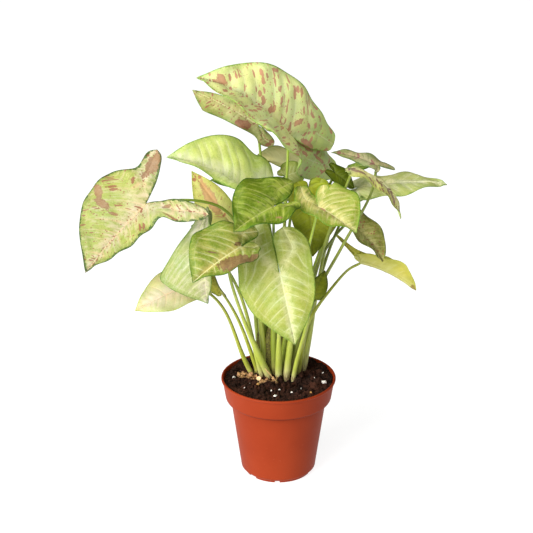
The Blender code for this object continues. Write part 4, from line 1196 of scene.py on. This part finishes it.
# %% The looks
USUAL = dict(  # what a leaf has where its own look says nothing else
    vein=(228, 230, 180), blush=(178, 122, 100), patch=(176, 124, 98), under=(176, 190, 118),
    streaks=0.0, dots=0.0,               # how many long and round flecks
    mottle=0.6, brush=0.5,               # strength of the green speckles, and of streaks in the pale tissue
    margin=7.0, rim_width=1.0,           # width of the greener margin, and of the worn rim
    vein_strength=0.6, glow=12.0,        # the veins, and how far pale tissue reaches from the midrib
    # tip_shade is how much shade is painted onto a blade towards its tip
    star=0.3, tip_shade=0.0, lobe_green=0.0,
    quilt=1.0, wave=0.8, wave_length=26.0, seed=1.0, patches=())
Look = namedtuple("Look", ("slot", "field", "heart", "rim", *USUAL), defaults=USUAL.values())
LOOKS = {
    "top": Look("leaf_lime", (225, 230, 154), (230, 230, 176), (124, 172, 44), blush=(204, 138, 114),
        patch=(200, 136, 108), streaks=0.46, dots=0.26, mottle=0.4, brush=0.35, glow=7.0, tip_shade=0.27,
        lobe_green=1.3, quilt=1.9, wave=1.5, wave_length=34.0, seed=31.0,
        patches=((0.05, 0.80, 0.055, 0.028, 29), (0.02, 0.84, 0.032, 0.010, 0),
        (0.33, 0.44, 0.034, 0.016, -15), (0.15, 0.27, 0.055, 0.014, 63), (0.23, 0.34, 0.036, 0.014, 81),
        (0.13, 0.02, 0.060, 0.022, 108), (0.05, 0.29, 0.040, 0.018, 83), (0.31, 0.22, 0.035, 0.012, 10),
        (0.08, -0.24, 0.110, 0.030, 170), (0.12, -0.48, 0.110, 0.012, 168),
        (0.02, -0.27, 0.040, 0.018, 160), (0.05, -0.56, 0.040, 0.014, 165),
        (-0.33, 0.54, 0.040, 0.016, -60))),
    "behind_top": Look("leaf_lime", (162, 164, 96), (184, 176, 124), (92, 122, 46), blush=(152, 94, 80),
        patch=(150, 90, 78), streaks=0.25, dots=0.34, vein_strength=0.3, quilt=1.6, wave=2.6,
        wave_length=40.0, seed=2.0, patches=((-0.10, 0.18, 0.11, 0.060, -10),)),
    "left_pale": Look("leaf_lime", (216, 228, 124), (238, 238, 192), (114, 160, 56), vein=(236, 240, 200),
        dots=0.02, mottle=0.5, brush=0.45, vein_strength=0.5, glow=16.0, tip_shade=0.45, quilt=1.3,
        wave=1.2, wave_length=38.0, seed=3.0),
    "far_left": Look("leaf_lime", (160, 170, 88), (200, 188, 158), (40, 80, 32), vein=(212, 178, 142),
        blush=(146, 92, 74), patch=(146, 106, 72), streaks=0.30, dots=0.27, mottle=0.45, brush=0.9,
        margin=5.0, rim_width=2.0, vein_strength=0.7, glow=15.0, star=0.8, tip_shade=0.2, wave=1.4,
        wave_length=22.0, seed=4.0, patches=((0.24, -0.43, 0.18, 0.085, 0), (0.24, -0.26, 0.08, 0.024, 0),
        (0.48, 0.24, 0.09, 0.045, 118), (0.36, 0.31, 0.10, 0.042, 82), (0.18, 0.31, 0.05, 0.020, 62),
        (-0.27, -0.14, 0.06, 0.024, 40))),
    "heart": Look("leaf_green", (102, 124, 20), (162, 176, 74), (48, 88, 18), vein=(206, 196, 140),
        blush=(160, 118, 90), patch=(150, 112, 84), streaks=0.04, dots=0.05, mottle=0.65, brush=0.95,
        rim_width=0.9, vein_strength=0.38, glow=14.0, quilt=2.0, wave=2.4, wave_length=30.0, seed=5.0,
        patches=((-0.40, 0.24, 0.07, 0.024, 60),)),
    "right_lime": Look("leaf_lime", (138, 146, 48), (200, 190, 122), (96, 142, 38), vein=(220, 214, 160),
        blush=(176, 112, 96), patch=(178, 112, 98), streaks=0.05, dots=0.08, brush=0.8, vein_strength=0.55,
        quilt=1.8, wave=2.2, seed=6.0, patches=((0.02, 0.14, 0.09, 0.030, 0),
        (0.05, 0.40, 0.06, 0.018, 30))),
    "front": Look("leaf_lime", (166, 174, 80), (210, 210, 156), (110, 144, 50), vein=(228, 232, 184),
        blush=(200, 150, 120), dots=0.08, brush=0.4, rim_width=0.9, vein_strength=0.62, glow=9.0,
        tip_shade=0.15, quilt=1.2, wave=0.5, seed=7.0),
    "left_brown": Look("leaf_green", (126, 140, 44), (200, 188, 116), (66, 106, 28), vein=(218, 218, 170),
        blush=(150, 100, 78), patch=(112, 78, 58), streaks=0.10, dots=0.06, mottle=0.55, brush=0.6,
        vein_strength=0.7, glow=9.0, quilt=1.8, wave=1.9, wave_length=28.0, seed=8.0,
        patches=((-0.29, 0.30, 0.32, 0.150, 43), (-0.42, 0.02, 0.18, 0.120, 0),
        (0.17, 0.46, 0.12, 0.014, 45), (0.06, 0.02, 0.07, 0.030, 10))),
    "left_low": Look("leaf_lime", (152, 162, 96), (202, 192, 180), (100, 132, 54), vein=(222, 228, 176),
        under=(150, 172, 92), glow=15.0, quilt=1.5, wave=1.6, wave_length=36.0, seed=9.0),
    "bottom_pale": Look("leaf_cream", (200, 196, 144), (220, 204, 176), (174, 186, 100),
        vein=(236, 200, 168), blush=(216, 168, 138), dots=0.12, mottle=0.4, brush=0.7, seed=10.0),
    "back_pink": Look("leaf_yellow", (224, 218, 126), (222, 216, 140), (158, 172, 64), vein=(214, 180, 128),
        blush=(190, 116, 88), patch=(228, 172, 124), streaks=0.22, dots=0.26, seed=11.0,
        patches=((-0.02, 0.50, 0.30, 0.070, 8),)),
    "long_right": Look("leaf_lime", (196, 202, 118), (238, 234, 194), (114, 150, 60), vein=(218, 222, 170),
        under=(134, 146, 72), dots=0.02, mottle=0.5, brush=0.7, quilt=1.4, wave=1.6, wave_length=34.0,
        seed=12.0),
    "droop_pink": Look("leaf_lime", (218, 216, 120), (238, 234, 178), (112, 130, 60), vein=(196, 172, 134),
        blush=(140, 92, 88), patch=(148, 108, 98), streaks=0.38, dots=0.20, wave=1.4, wave_length=24.0,
        seed=13.0, patches=((0.08, 0.62, 0.16, 0.040, 10), (0.08, 0.05, 0.14, 0.040, 10))),
    "up_right": Look("leaf_olive", (144, 152, 92), (176, 162, 126), (76, 106, 42), vein=(180, 172, 130),
        blush=(142, 98, 90), under=(140, 160, 62), streaks=0.30, dots=0.20, wave=1.4, wave_length=24.0,
        seed=14.0),
    "right_mid": Look("leaf_olive", (162, 164, 82), (204, 196, 130), (92, 102, 38), vein=(166, 166, 110),
        blush=(176, 104, 84), under=(130, 136, 78), streaks=0.20, dots=0.34, mottle=0.8, brush=1.0,
        quilt=1.6, wave=1.6, wave_length=24.0, seed=15.0),
    "yellow": Look("leaf_yellow", (233, 229, 104), (236, 228, 114), (172, 172, 66), vein=(212, 210, 130),
        blush=(206, 150, 90), patch=(150, 126, 60), under=(180, 175, 78), streaks=0.02, mottle=0.3,
        wave=1.4, seed=16.0, patches=((0.00, 0.99, 0.10, 0.050, 0),)),
    "back_olive": Look("leaf_olive", (116, 142, 8), (122, 148, 14), (78, 106, 14), under=(186, 178, 120),
        vein_strength=0.4, seed=17.0),
    "back_tip": Look("leaf_olive", (150, 160, 76), (176, 176, 108), (96, 126, 34), vein_strength=0.4,
        seed=18.0),
    "low_left": Look("leaf_olive", (96, 128, 36), (120, 146, 54), (60, 96, 28), under=(168, 168, 104),
        vein_strength=0.4, seed=19.0),
    "dark_right": Look("leaf_dark", (72, 88, 8), (94, 106, 8), (52, 66, 8), vein=(124, 136, 66),
        under=(110, 120, 52), vein_strength=0.4, seed=20.0),
    "right_band": Look("leaf_green", (150, 176, 70), (160, 186, 84), (96, 120, 40), vein_strength=0.3,
        seed=27.0),
    "middle_olive": Look("leaf_olive", (136, 144, 26), (160, 168, 42), (86, 98, 24), vein=(156, 160, 84),
        under=(116, 124, 44), vein_strength=0.4, seed=21.0),
    "small_dark": Look("leaf_dark", (120, 134, 28), (156, 162, 46), (72, 82, 16), vein=(134, 140, 66),
        under=(112, 120, 46), vein_strength=0.4, seed=22.0),
    "curled_left": Look("leaf_dark", (134, 138, 32), (180, 174, 56), (74, 88, 22), vein=(160, 158, 86),
        under=(178, 172, 92), vein_strength=0.4, seed=23.0),
    "rear_left": Look("leaf_green", (136, 168, 66), (186, 202, 124), (88, 132, 44), dots=0.04, quilt=1.8,
        seed=24.0),
    "rear": Look("leaf_green", (146, 176, 74), (190, 206, 130), (88, 134, 44), streaks=0.06, dots=0.08,
        quilt=1.8, seed=25.0),
    "rear_right": Look("leaf_green", (134, 164, 66), (182, 198, 120), (84, 128, 42), dots=0.04, quilt=1.8,
        seed=26.0),
}
print("looks for all leaves:", sorted(LOOKS) == sorted(leaf.name for leaf in LEAVES))

# %% [markdown]
# ## The leaf's skin
#
# One group of nodes paints every blade. It reads the attributes of the mesh, in millimetres: how far a point
# is from the midrib, the margin and the next side vein. The tissue is palest beside the veins and round the
# joint, where it makes a star, and greenest at the margin and on the lobes. Noise breaks the edges of every
# marking. Pink flecks are stretched along the side veins, because the pigment follows the veins, and some
# blades have shade painted onto them towards the tip.

# %% Layers of the leaf skin
SKIN_COLOURS = ("field", "heart", "rim", "vein", "blush", "patch")
SKIN_NUMBERS = ("glow", "star", "tip_shade", "lobe_green", "streaks", "dots", "mottle", "brush", "margin",
                "rim_width", "vein_strength", "pitch", "seed")
DEEP_BLUSH = (0.15, 0.05, 0.03, 1.0)
WARM_TISSUE = (1.03, 1.0, 0.90, 1.0)
COOL_TISSUE = (0.97, 1.0, 1.02, 1.0)
PAINTED_TIP_SHADE = (0.5, 0.5, 0.56, 1.0)


def label(name):
    """The label of the socket for one of a look's fields."""
    return name.replace("_", " ").title()


class LeafSkin(Bench):
    """Paints a blade in layers: each method lays one over the colour so far."""

    def __init__(self):
        super().__init__(bpy.data.node_groups.new("leaf_skin", "ShaderNodeTree"))
        for side, kind, names in (("INPUT", "NodeSocketColor", SKIN_COLOURS),
                                  ("INPUT", "NodeSocketFloat", SKIN_NUMBERS),
                                  ("OUTPUT", "NodeSocketColor", ("color",)),
                                  ("OUTPUT", "NodeSocketFloat", ("height",))):
            for name in names:
                self.tree.interface.new_socket(name=label(name), in_out=side, socket_type=kind)
        self.given = dict(zip(SKIN_COLOURS + SKIN_NUMBERS, self.tree.nodes.new("NodeGroupInput").outputs))

    def read_fields(self):
        """The blade's fields, in millimetres, and what follows from them."""
        seed, pitch = self.given["seed"], self.given["pitch"]
        self.flat = self.attribute("flat", "Vector")
        self.rib, self.edge, self.vein = (self.attribute(name) for name in ("rib", "edge", "vein"))
        self.place = self.vector("ADD", self.flat, self.combined(Z=seed))
        across = self.times(self.vein, pitch)
        self.run = self.combined(X=across, Y=self.times(self.rib, 0.30), Z=seed)
        self.long_run = self.combined(X=across, Y=self.times(self.rib, 0.09), Z=seed)
        self.number = self.math("ROUND", self.vein)
        self.to_vein = self.times(self.math("ABSOLUTE", self.minus(self.vein, self.number)), pitch)
        self.off_edge = self.ramp(self.edge, 2.0, 7.0)
        along = self.node("ShaderNodeSeparateXYZ", {0: self.flat}, output=1)
        self.along = self.math("DIVIDE", along, self.times(pitch, SIDE_VEINS))

    def make_noises(self):
        """Four noises on the flat blade, from broad to fine, and two drawn out along the side veins."""
        self.broad = self.noise(self.place, 0.05, 2.0)
        self.cloudy = self.noise(self.place, 0.22, 4.0, 0.65)
        self.fine = self.noise(self.place, 0.85, 3.0, 0.6)
        self.grain = self.noise(self.place, 2.2, 2.0, 0.6)
        self.brushed = self.noise(self.run, 0.42, 3.0, 0.6)
        self.combed = self.noise(self.long_run, 0.45, 4.0, 0.62)

    def wobbled(self, distance, by_clouds, by_brush):
        """A distance in millimetres, made uneven."""
        return self.stirred(self.stirred(distance, self.cloudy, by_clouds), self.brushed, by_brush)

    def lay(self, share, colour):
        self.colour = self.mix(share, self.colour, colour)

    def pale_tissue(self):
        """Pale round the joint and beside the veins, drawn out along the side veins."""
        given = self.given
        beside_rib = self.math("DIVIDE", self.wobbled(self.rib, 14.0, 12.0), given["glow"])
        beside_rib = self.ramp(beside_rib, 1.3, 0.1, 0.8)
        beside_vein = self.ramp(self.wobbled(self.to_vein, 6.0, 12.0), 3.6, 0.4, 0.35)
        pale = self.most(beside_rib, self.times(beside_vein, self.off_edge))
        from_joint = self.node("ShaderNodeVectorMath", {0: self.flat}, output=1, operation="LENGTH")
        pale = self.most(pale, self.ramp(self.wobbled(from_joint, 20.0, 60.0), 30.0, 5.0, given["star"]))
        streaky = self.blend(self.brushed, 0.60, self.times(self.combed, 0.40))
        self.streaky = self.times(self.minus(streaky, 0.5), given["brush"])
        self.pale = self.node("ShaderNodeClamp", {"Value": self.blend(self.streaky, 4.5, pale)})
        self.colour = self.mix(self.pale, given["field"], given["heart"])

    def green_tissue(self):
        """A greener margin and greener lobes, and green speckles over the whole blade."""
        given = self.given
        greener = self.mix(0.5, given["field"], given["rim"])
        margin = self.math("DIVIDE", self.wobbled(self.edge, 16.0, 16.0), given["margin"])
        lobes = self.ramp(self.along, 0.05, -0.25, given["lobe_green"])
        margin = self.most(self.ramp(margin, 1.0, 0.0), lobes)
        self.lay(self.times(margin, 0.55), greener)
        speckle = self.blend(self.grain, 0.40, self.times(self.fine, 0.60))
        speckle = self.blend(self.streaky, -0.5, self.stirred(speckle, self.cloudy, 0.45))
        self.speckle = self.blend(self.minus(self.pale, margin), -0.05, speckle)
        self.lay(self.ramp(self.speckle, 0.46, 0.64, given["mottle"]), greener)

    def draw_veins(self):
        """Some veins strong and some faint, finer at the sides, with a net of threads between them."""
        given = self.given
        self.net = self.node("ShaderNodeTexVoronoi", {"Vector": self.place, "Scale": 0.36,
                                                      "Randomness": 0.9}, feature="DISTANCE_TO_EDGE")
        threads = self.ramp(self.net, 0.08, 0.0, 0.15)
        rank = self.math("SINE", self.blend(self.number, 2.1, given["seed"]))
        side = self.ramp(self.blend(self.rib, 0.02, self.to_vein), self.blend(rank, 0.30, 1.45), 0.1)
        self.side = self.times(side, self.times(self.off_edge, self.ramp(self.cloudy, 0.30, 0.58)))
        collector = self.math("ABSOLUTE", self.minus(self.wobbled(self.edge, 4.0, 0.0), 6.0))
        collector = self.times(self.ramp(collector, 0.9, 0.1, 0.25), self.ramp(self.rib, 3.0, 9.0))
        midrib = self.ramp(self.blend(self.grain, 0.5, self.rib), 1.25, 0.6)
        lines = self.most(self.most(self.times(self.side, 0.8), collector), self.most(threads, midrib))
        self.lay(self.times(lines, given["vein_strength"]), given["vein"])

    def marks(self, place, scale, amount, crowding, softness):
        """Separate marks, each with its own size: gives their cover and a random shade for each."""
        cells = self.tree.nodes.new("ShaderNodeTexVoronoi")
        cells.inputs["Scale"].default_value = scale
        self.tree.links.new(place, cells.inputs["Vector"])
        parts = self.tree.nodes.new("ShaderNodeSeparateColor")
        self.tree.links.new(cells.outputs["Color"], parts.inputs["Color"])
        chance = self.blend(amount, crowding, parts.outputs[0])
        size = self.ramp(chance, 0.90, 1.35, 0.55)
        cover = self.ramp(self.minus(size, cells.outputs["Distance"]), 0.0, softness)
        return cover, self.times(cover, parts.outputs[1])

    def draw_flecks(self):
        """Long pink-brown flecks along the side veins and small round ones, crowded in some places."""
        given = self.given
        crowding = self.blend(self.ramp(self.noise(self.place, 0.075, 1.0), 0.35, 0.62), 0.4, 0.8)
        crowding = self.math("ADD", self.ramp(self.rib, 3.5, 1.0, 0.6), crowding)
        warp = self.combined(X=self.times(self.cloudy, 3.0), Y=self.times(self.fine, 0.8))
        streak, streak_shade = self.marks(self.vector("ADD", self.run, warp), 0.34, given["streaks"],
                                          crowding, 0.06)
        dot, dot_shade = self.marks(self.vector("ADD", self.place, warp), 0.62, given["dots"],
                                    crowding, 0.12)
        cover = self.times(self.most(streak, dot), self.ramp(self.grain, 0.0, 0.30, 0.85))
        shade = self.times(self.most(streak_shade, dot_shade), 0.75)
        deep = self.mix(0.32, given["blush"], DEEP_BLUSH)
        self.lay(cover, self.mix(shade, given["blush"], deep))

    def draw_patches(self):
        """Large patches with ragged edges, and the thin worn rim."""
        given = self.given
        ragged = self.attribute("patch")
        for uneven, amount in ((self.brushed, 0.55), (self.combed, 0.45), (self.fine, 0.25)):
            ragged = self.stirred(ragged, uneven, amount)
        faded = self.mix(0.25, given["patch"], given["heart"])
        faded = self.mix(self.ramp(self.speckle, 0.25, 0.75), faded, given["patch"])
        faded = self.mix(self.ramp(ragged, 0.75, 0.5), faded, self.mix(0.25, faded, DEEP_BLUSH))
        self.lay(self.ramp(ragged, 0.47, 0.51, 0.92), faded)
        worn = self.times(given["rim_width"], self.blend(self.cloudy, 5.0, -1.9))
        border = self.ramp(self.minus(self.edge, worn), 0.5, -0.2, 0.8)
        self.lay(self.times(border, self.ramp(self.fine, 0.25, 0.5)), given["rim"])

    def tint(self):
        """Tissue a little warmer here and cooler there, with shade painted towards the tip."""
        tint = self.mix(self.ramp(self.broad, 0.35, 0.65), WARM_TISSUE, COOL_TISSUE)
        # painted shade: the tissue is darkened towards the tip, by the look's tip_shade
        tint = self.mix(self.ramp(self.along, -0.1, 0.8, self.given["tip_shade"]), tint, PAINTED_TIP_SHADE)
        self.colour = self.multiplied(self.colour, tint)

    def finish(self):
        """The skin's colour, and its height for the bump: fine grain, with the side veins sunk in."""
        height = self.blend(self.fine, 0.5, self.times(self.net, 0.35))
        height = self.minus(height, self.times(self.side, 0.6))
        end = self.tree.nodes.new("NodeGroupOutput").inputs
        self.tree.links.new(self.colour, end["Color"])
        self.tree.links.new(height, end["Height"])
        return self.tree

# %% Build the leaf-skin group
def leaf_skin_group():
    skin = LeafSkin()
    for step in (skin.read_fields, skin.make_noises, skin.pale_tissue, skin.green_tissue, skin.draw_veins,
                 skin.draw_flecks, skin.draw_patches, skin.tint):
        step()
    return skin.finish()


LEAF_SKIN = leaf_skin_group()
print("leaf skin nodes:", len(LEAF_SKIN.nodes))

# %% [markdown]
# A thin leaf glows where light comes through it. So its shader is a mix: a waxy surface, and a Translucent
# share that lets the light of the far side through. The underside is duller, paler and has fewer marks.

# %% Leaf materials
GLOW_THROUGH = 0.22
GLOW_TINT = (1.0, 1.0, 0.35, 1.0)
UPPER_ROUGHNESS = 0.46
UNDER_ROUGHNESS = 0.6
UNDER_VEIN = tone(232, 232, 190)
SEED_STEP = 37.0         # keeps the noises of two leaves well apart


def blend_tones(a, b, share):
    return tuple(x * (1.0 - share) + y * share for x, y in zip(a, b))


def leaf_material(name, values, roughness):
    made = bpy.data.materials.new(name)
    made.use_nodes = True
    made.node_tree.nodes.clear()
    bench = Bench(made.node_tree)
    skin = bench.tree.nodes.new("ShaderNodeGroup")
    skin.node_tree = LEAF_SKIN
    for field in SKIN_COLOURS + SKIN_NUMBERS:
        skin.inputs[label(field)].default_value = values[field]
    colour = skin.outputs["Color"]
    bump = bench.bump(skin.outputs["Height"], 0.6, 0.35 * MM)
    waxy = bench.node("ShaderNodeBsdfPrincipled", {"Base Color": colour, "Normal": bump,
                                                   "Roughness": roughness, "Specular IOR Level": 0.16})
    through = bench.node("ShaderNodeBsdfTranslucent", {"Color": bench.multiplied(colour, GLOW_TINT),
                                                       "Normal": bump})
    both = bench.node("ShaderNodeMixShader", {0: GLOW_THROUGH, 1: waxy, 2: through})
    bench.node("ShaderNodeOutputMaterial", {"Surface": both})
    return made


def leaf_materials(leaf, look, length):
    """The skins of a blade's upper side and underside."""
    values = look._asdict() | {"pitch": length / SIDE_VEINS, "seed": SEED_STEP * look.seed}
    values |= {name: tone(*values[name]) for name in (*SKIN_COLOURS, "under")}
    upper = leaf_material(f"{leaf.name}_upper_skin", values, UPPER_ROUGHNESS)
    under = values["under"]
    pale = blend_tones(under, UNDER_VEIN, 0.35)
    values |= {"field": under, "heart": blend_tones(under, pale, 0.5), "vein": pale,
               "blush": blend_tones(under, values["blush"], 0.4),
               "mottle": 0.5 * look.mottle, "streaks": 0.6 * look.streaks}
    return upper, leaf_material(f"{leaf.name}_under_skin", values, UNDER_ROUGHNESS)


# %% [markdown]
# ## Make the blades
#
# Each blade is now its surface, its relief, its two sides and its two skins. Its large patches are a field
# too, worked out from their places, so that the skin can give them ragged edges.

# %% Build each blade's mesh
def patch_field(flat, patches, length):
    """How deep each point lies inside the nearest patch: 1 in its middle, 0.5 at its edge, 0 outside."""
    field = np.zeros(len(flat))
    for across, along, reach, width, heading in patches:
        turn = math.radians(heading)
        east, north = flat[:, 0] / length - across, flat[:, 1] / length - along
        ahead = east * math.sin(turn) + north * math.cos(turn)
        beside = east * math.cos(turn) - north * math.sin(turn)
        away = np.hypot(ahead / reach, beside / width)
        field = np.maximum(field, np.clip(1.0 - 0.5 * away, 0.0, 1.0))
    return field


def make_blade(leaf):
    look = LOOKS[leaf.name]
    length = leaf_frame(leaf)[0]
    points, faces, fields = blade_surface(leaf)
    normals = surface_normals(points, faces)
    points = points + normals * relief(length, fields, look)[:, None]
    normals = surface_normals(points, faces)
    shell, upper, lower, rim = thicken(points, faces, normals, fields)
    mesh = bpy.data.meshes.new(f"{leaf.name}_leaf")
    mesh.from_pydata((shell * MM).tolist(), [], upper + lower + rim)
    slots = [0] * len(upper) + [1] * len(lower) + [0] * len(rim)
    mesh.polygons.foreach_set("material_index", slots)
    mesh.shade_smooth()
    fields["patch"] = patch_field(fields["flat"], look.patches, length)
    for name, values in fields.items():
        point_attribute(mesh, name, np.concatenate([values, values]))
    for skin in leaf_materials(leaf, look, length):
        mesh.materials.append(skin)
    mesh.update()
    return add_piece(f"{leaf.name}_leaf", mesh, f"{leaf.name}_blade")


blades = [make_blade(leaf) for leaf in LEAVES]
print("blades:", len(blades), "faces:", sum(len(b.data.polygons) for b in blades))

# %% [markdown]
# ## Stalks
#
# A stalk is a fleshy tube that clasps the crown with a wide foot, thins as it rises and swells slightly just
# under the blade. Geometry Nodes sweep one grooved outline along every stalk's line, because all stalks
# share that one rule. The line carries its own thickness, and its share of the way up for the colours.

# %% The stalks' lines
STALK_RINGS = 46
STALK_RADII = (  # share of the way up, and radius
    (0.0, 2.7), (0.06, 2.8), (0.2, 2.5), (0.34, 1.85), (0.5, 1.5), (0.9, 1.15), (0.97, 1.25), (1.0, 1.05))
STALK_SIDES = 16
SLENDER = ("bottom_pale", "curled_left", "left_low", "yellow", "small_dark", "up_right", "droop_pink")
SLENDER_GIRTH = 0.82     # girth of the feet of those stalks, as a share of the table's
STOUT_GIRTH = 1.15       # girth of the other stalks' feet
ROOTING = 8.0            # how deep a stalk goes into the soil
TUCK = 0.7               # how far under its blade a stalk ends


def stalk_line(leaf):
    """Points along a stalk from the soil's surface into the underside of its blade's midrib."""
    foot = np.array([*leaf.foot, mound(*leaf.foot)])
    joint = np.array(leaf.joint, float)
    heading = (joint - foot)[:2]
    heading /= np.linalg.norm(heading)
    lean, arrive = math.radians(leaf.lean), math.radians(leaf.arrive)
    start = np.array([*(heading * math.cos(lean)), math.sin(lean)])
    finish = np.array([*(heading * math.cos(arrive)), math.sin(arrive)])
    joint = joint - leaf_frame(leaf)[3] * (SKIN / 2 + TUCK)
    if leaf.via:
        return curve_through([foot, *leaf.via, joint])
    arm = leaf.reach * np.linalg.norm(joint - foot)
    t = np.linspace(0.0, 1.0, 65)[:, None]
    return ((1 - t) ** 3 * foot + 3 * (1 - t) ** 2 * t * (foot + arm * start)
            + 3 * (1 - t) * t ** 2 * (joint - arm * finish) + t ** 3 * joint)


ends = [float(stalk_line(leaf)[-1][2]) for leaf in LEAVES]
print("stalks end between", round(min(ends)), "and", round(max(ends)), "mm up")


# %% A sweep in Geometry Nodes
def sweep_tree():
    bench = GeometryBench("sweep_stalk", {"Sides": "NodeSocketInt", "Skin": "NodeSocketMaterial"})
    line = bench.node("GeometryNodeMeshToCurve", {"Mesh": bench.given["Geometry"]})
    thickness = bench.node("GeometryNodeInputNamedAttribute", {"Name": "thickness"}, data_type="FLOAT")
    ring = bench.node("GeometryNodeCurvePrimitiveCircle", {"Resolution": bench.given["Sides"],
                                                          "Radius": 1.0})
    place = bench.node("GeometryNodeInputPosition")
    across = bench.node("ShaderNodeSeparateXYZ", {0: place}, output=1)
    groove = bench.combined(Y=bench.ramp(across, 0.72, 1.0, -0.34))
    ring = bench.node("GeometryNodeSetPosition", {"Geometry": ring, "Offset": groove})
    tube = bench.node("GeometryNodeCurveToMesh", {"Curve": line, "Profile Curve": ring, "Scale": thickness,
                                                  "Fill Caps": True})
    tube = bench.node("GeometryNodeSetShadeSmooth", {"Geometry": tube})
    return bench.finish(tube)


STALK_SWEEP = sweep_tree()
print("sweep nodes:", len(STALK_SWEEP.nodes))


# %% [markdown]
# A stalk's colour runs from a pale foot to green, with fine lengthwise fibres, and the soil has stained its
# lowest few millimetres brown.

# %% Stalk materials
StalkLook = namedtuple("StalkLook", "foot middle neck")
GREEN_STALK = StalkLook((204, 198, 134), (170, 180, 72), (146, 168, 56))
OTHER_STALKS = (
    (StalkLook((188, 186, 104), (158, 164, 54), (146, 154, 48)), ("bottom_pale", "curled_left", "yellow")),
    (StalkLook((182, 168, 116), (138, 148, 52), (116, 130, 38)), (
        "long_right", "droop_pink", "up_right", "right_mid")),
    (StalkLook((184, 180, 100), (142, 156, 48), (112, 136, 34)), (
        "far_left", "heart", "back_olive", "low_left", "dark_right", "middle_olive", "rear")))
STALK_LOOKS = {name: tones for tones, names in OTHER_STALKS for name in names}
SOIL_STAIN = tone(104, 76, 52)
BLACK = (0.0, 0.0, 0.0, 1.0)


def stalk_material(name, tones):
    made, bench, shader, place = new_material(name, 0.42)
    foot, middle, neck = (tone(*colour) for colour in tones)
    up = bench.attribute("climb")
    drawn_out = bench.node("ShaderNodeMapping", {"Vector": place, "Scale": (1.0, 1.0, 0.06)})
    fibres = bench.noise(drawn_out, 1500.0, 2.0)
    clouds = bench.noise(place, 90.0, 3.0)
    colour = bench.mix(bench.ramp(up, 0.0, 0.14), foot, middle)
    colour = bench.mix(bench.ramp(up, 0.4, 0.95), colour, neck)
    colour = bench.mix(bench.ramp(fibres, 0.35, 0.75, 0.30), colour, blend_tones(neck, BLACK, 0.35))
    colour = bench.mix(bench.ramp(clouds, 0.55, 0.8, 0.25), colour, foot)
    stain = bench.times(bench.ramp(up, 0.06, 0.015), bench.ramp(fibres, 0.25, 0.65))
    colour = bench.mix(stain, colour, SOIL_STAIN)
    paint(bench, shader, colour, bench.bump(fibres, 0.35, 0.15 * MM))
    shader.inputs["Subsurface Weight"].default_value = 0.15
    shader.inputs["Subsurface Radius"].default_value = (1.2 * MM, 1.2 * MM, 0.5 * MM)
    return made


print("stalks with tones of their own:", len(STALK_LOOKS))


# %% Grow the stalks
def make_stalk(leaf):
    route = spaced(stalk_line(leaf), STALK_RINGS)
    root = route[0] - np.array([0.0, 0.0, ROOTING])
    route = np.vstack([root, route])
    climb = np.concatenate([[0.0], np.linspace(0.0, 1.0, STALK_RINGS + 1)])
    mesh = bpy.data.meshes.new(f"{leaf.name}_stem")
    mesh.from_pydata((route * MM).tolist(), [(k, k + 1) for k in range(len(route) - 1)], [])
    own = SLENDER_GIRTH if leaf.name in SLENDER else STOUT_GIRTH
    girth = 1.0 + (own - 1.0) * smooth(climb, 0.5, 0.2)
    point_attribute(mesh, "thickness", girth * np.interp(climb, *zip(*STALK_RADII)) * MM)
    point_attribute(mesh, "climb", climb)
    skin = stalk_material(f"{leaf.name}_stem_skin", STALK_LOOKS.get(leaf.name, GREEN_STALK))
    made = grown(f"{leaf.name}_stem", mesh, STALK_SWEEP, {"Sides": STALK_SIDES, "Skin": skin})
    return add_piece(f"{leaf.name}_stem", made, f"{leaf.name}_stalk")


stalks = [make_stalk(leaf) for leaf in LEAVES]
print("stalks:", len(stalks), "faces:", sum(len(s.data.polygons) for s in stalks))
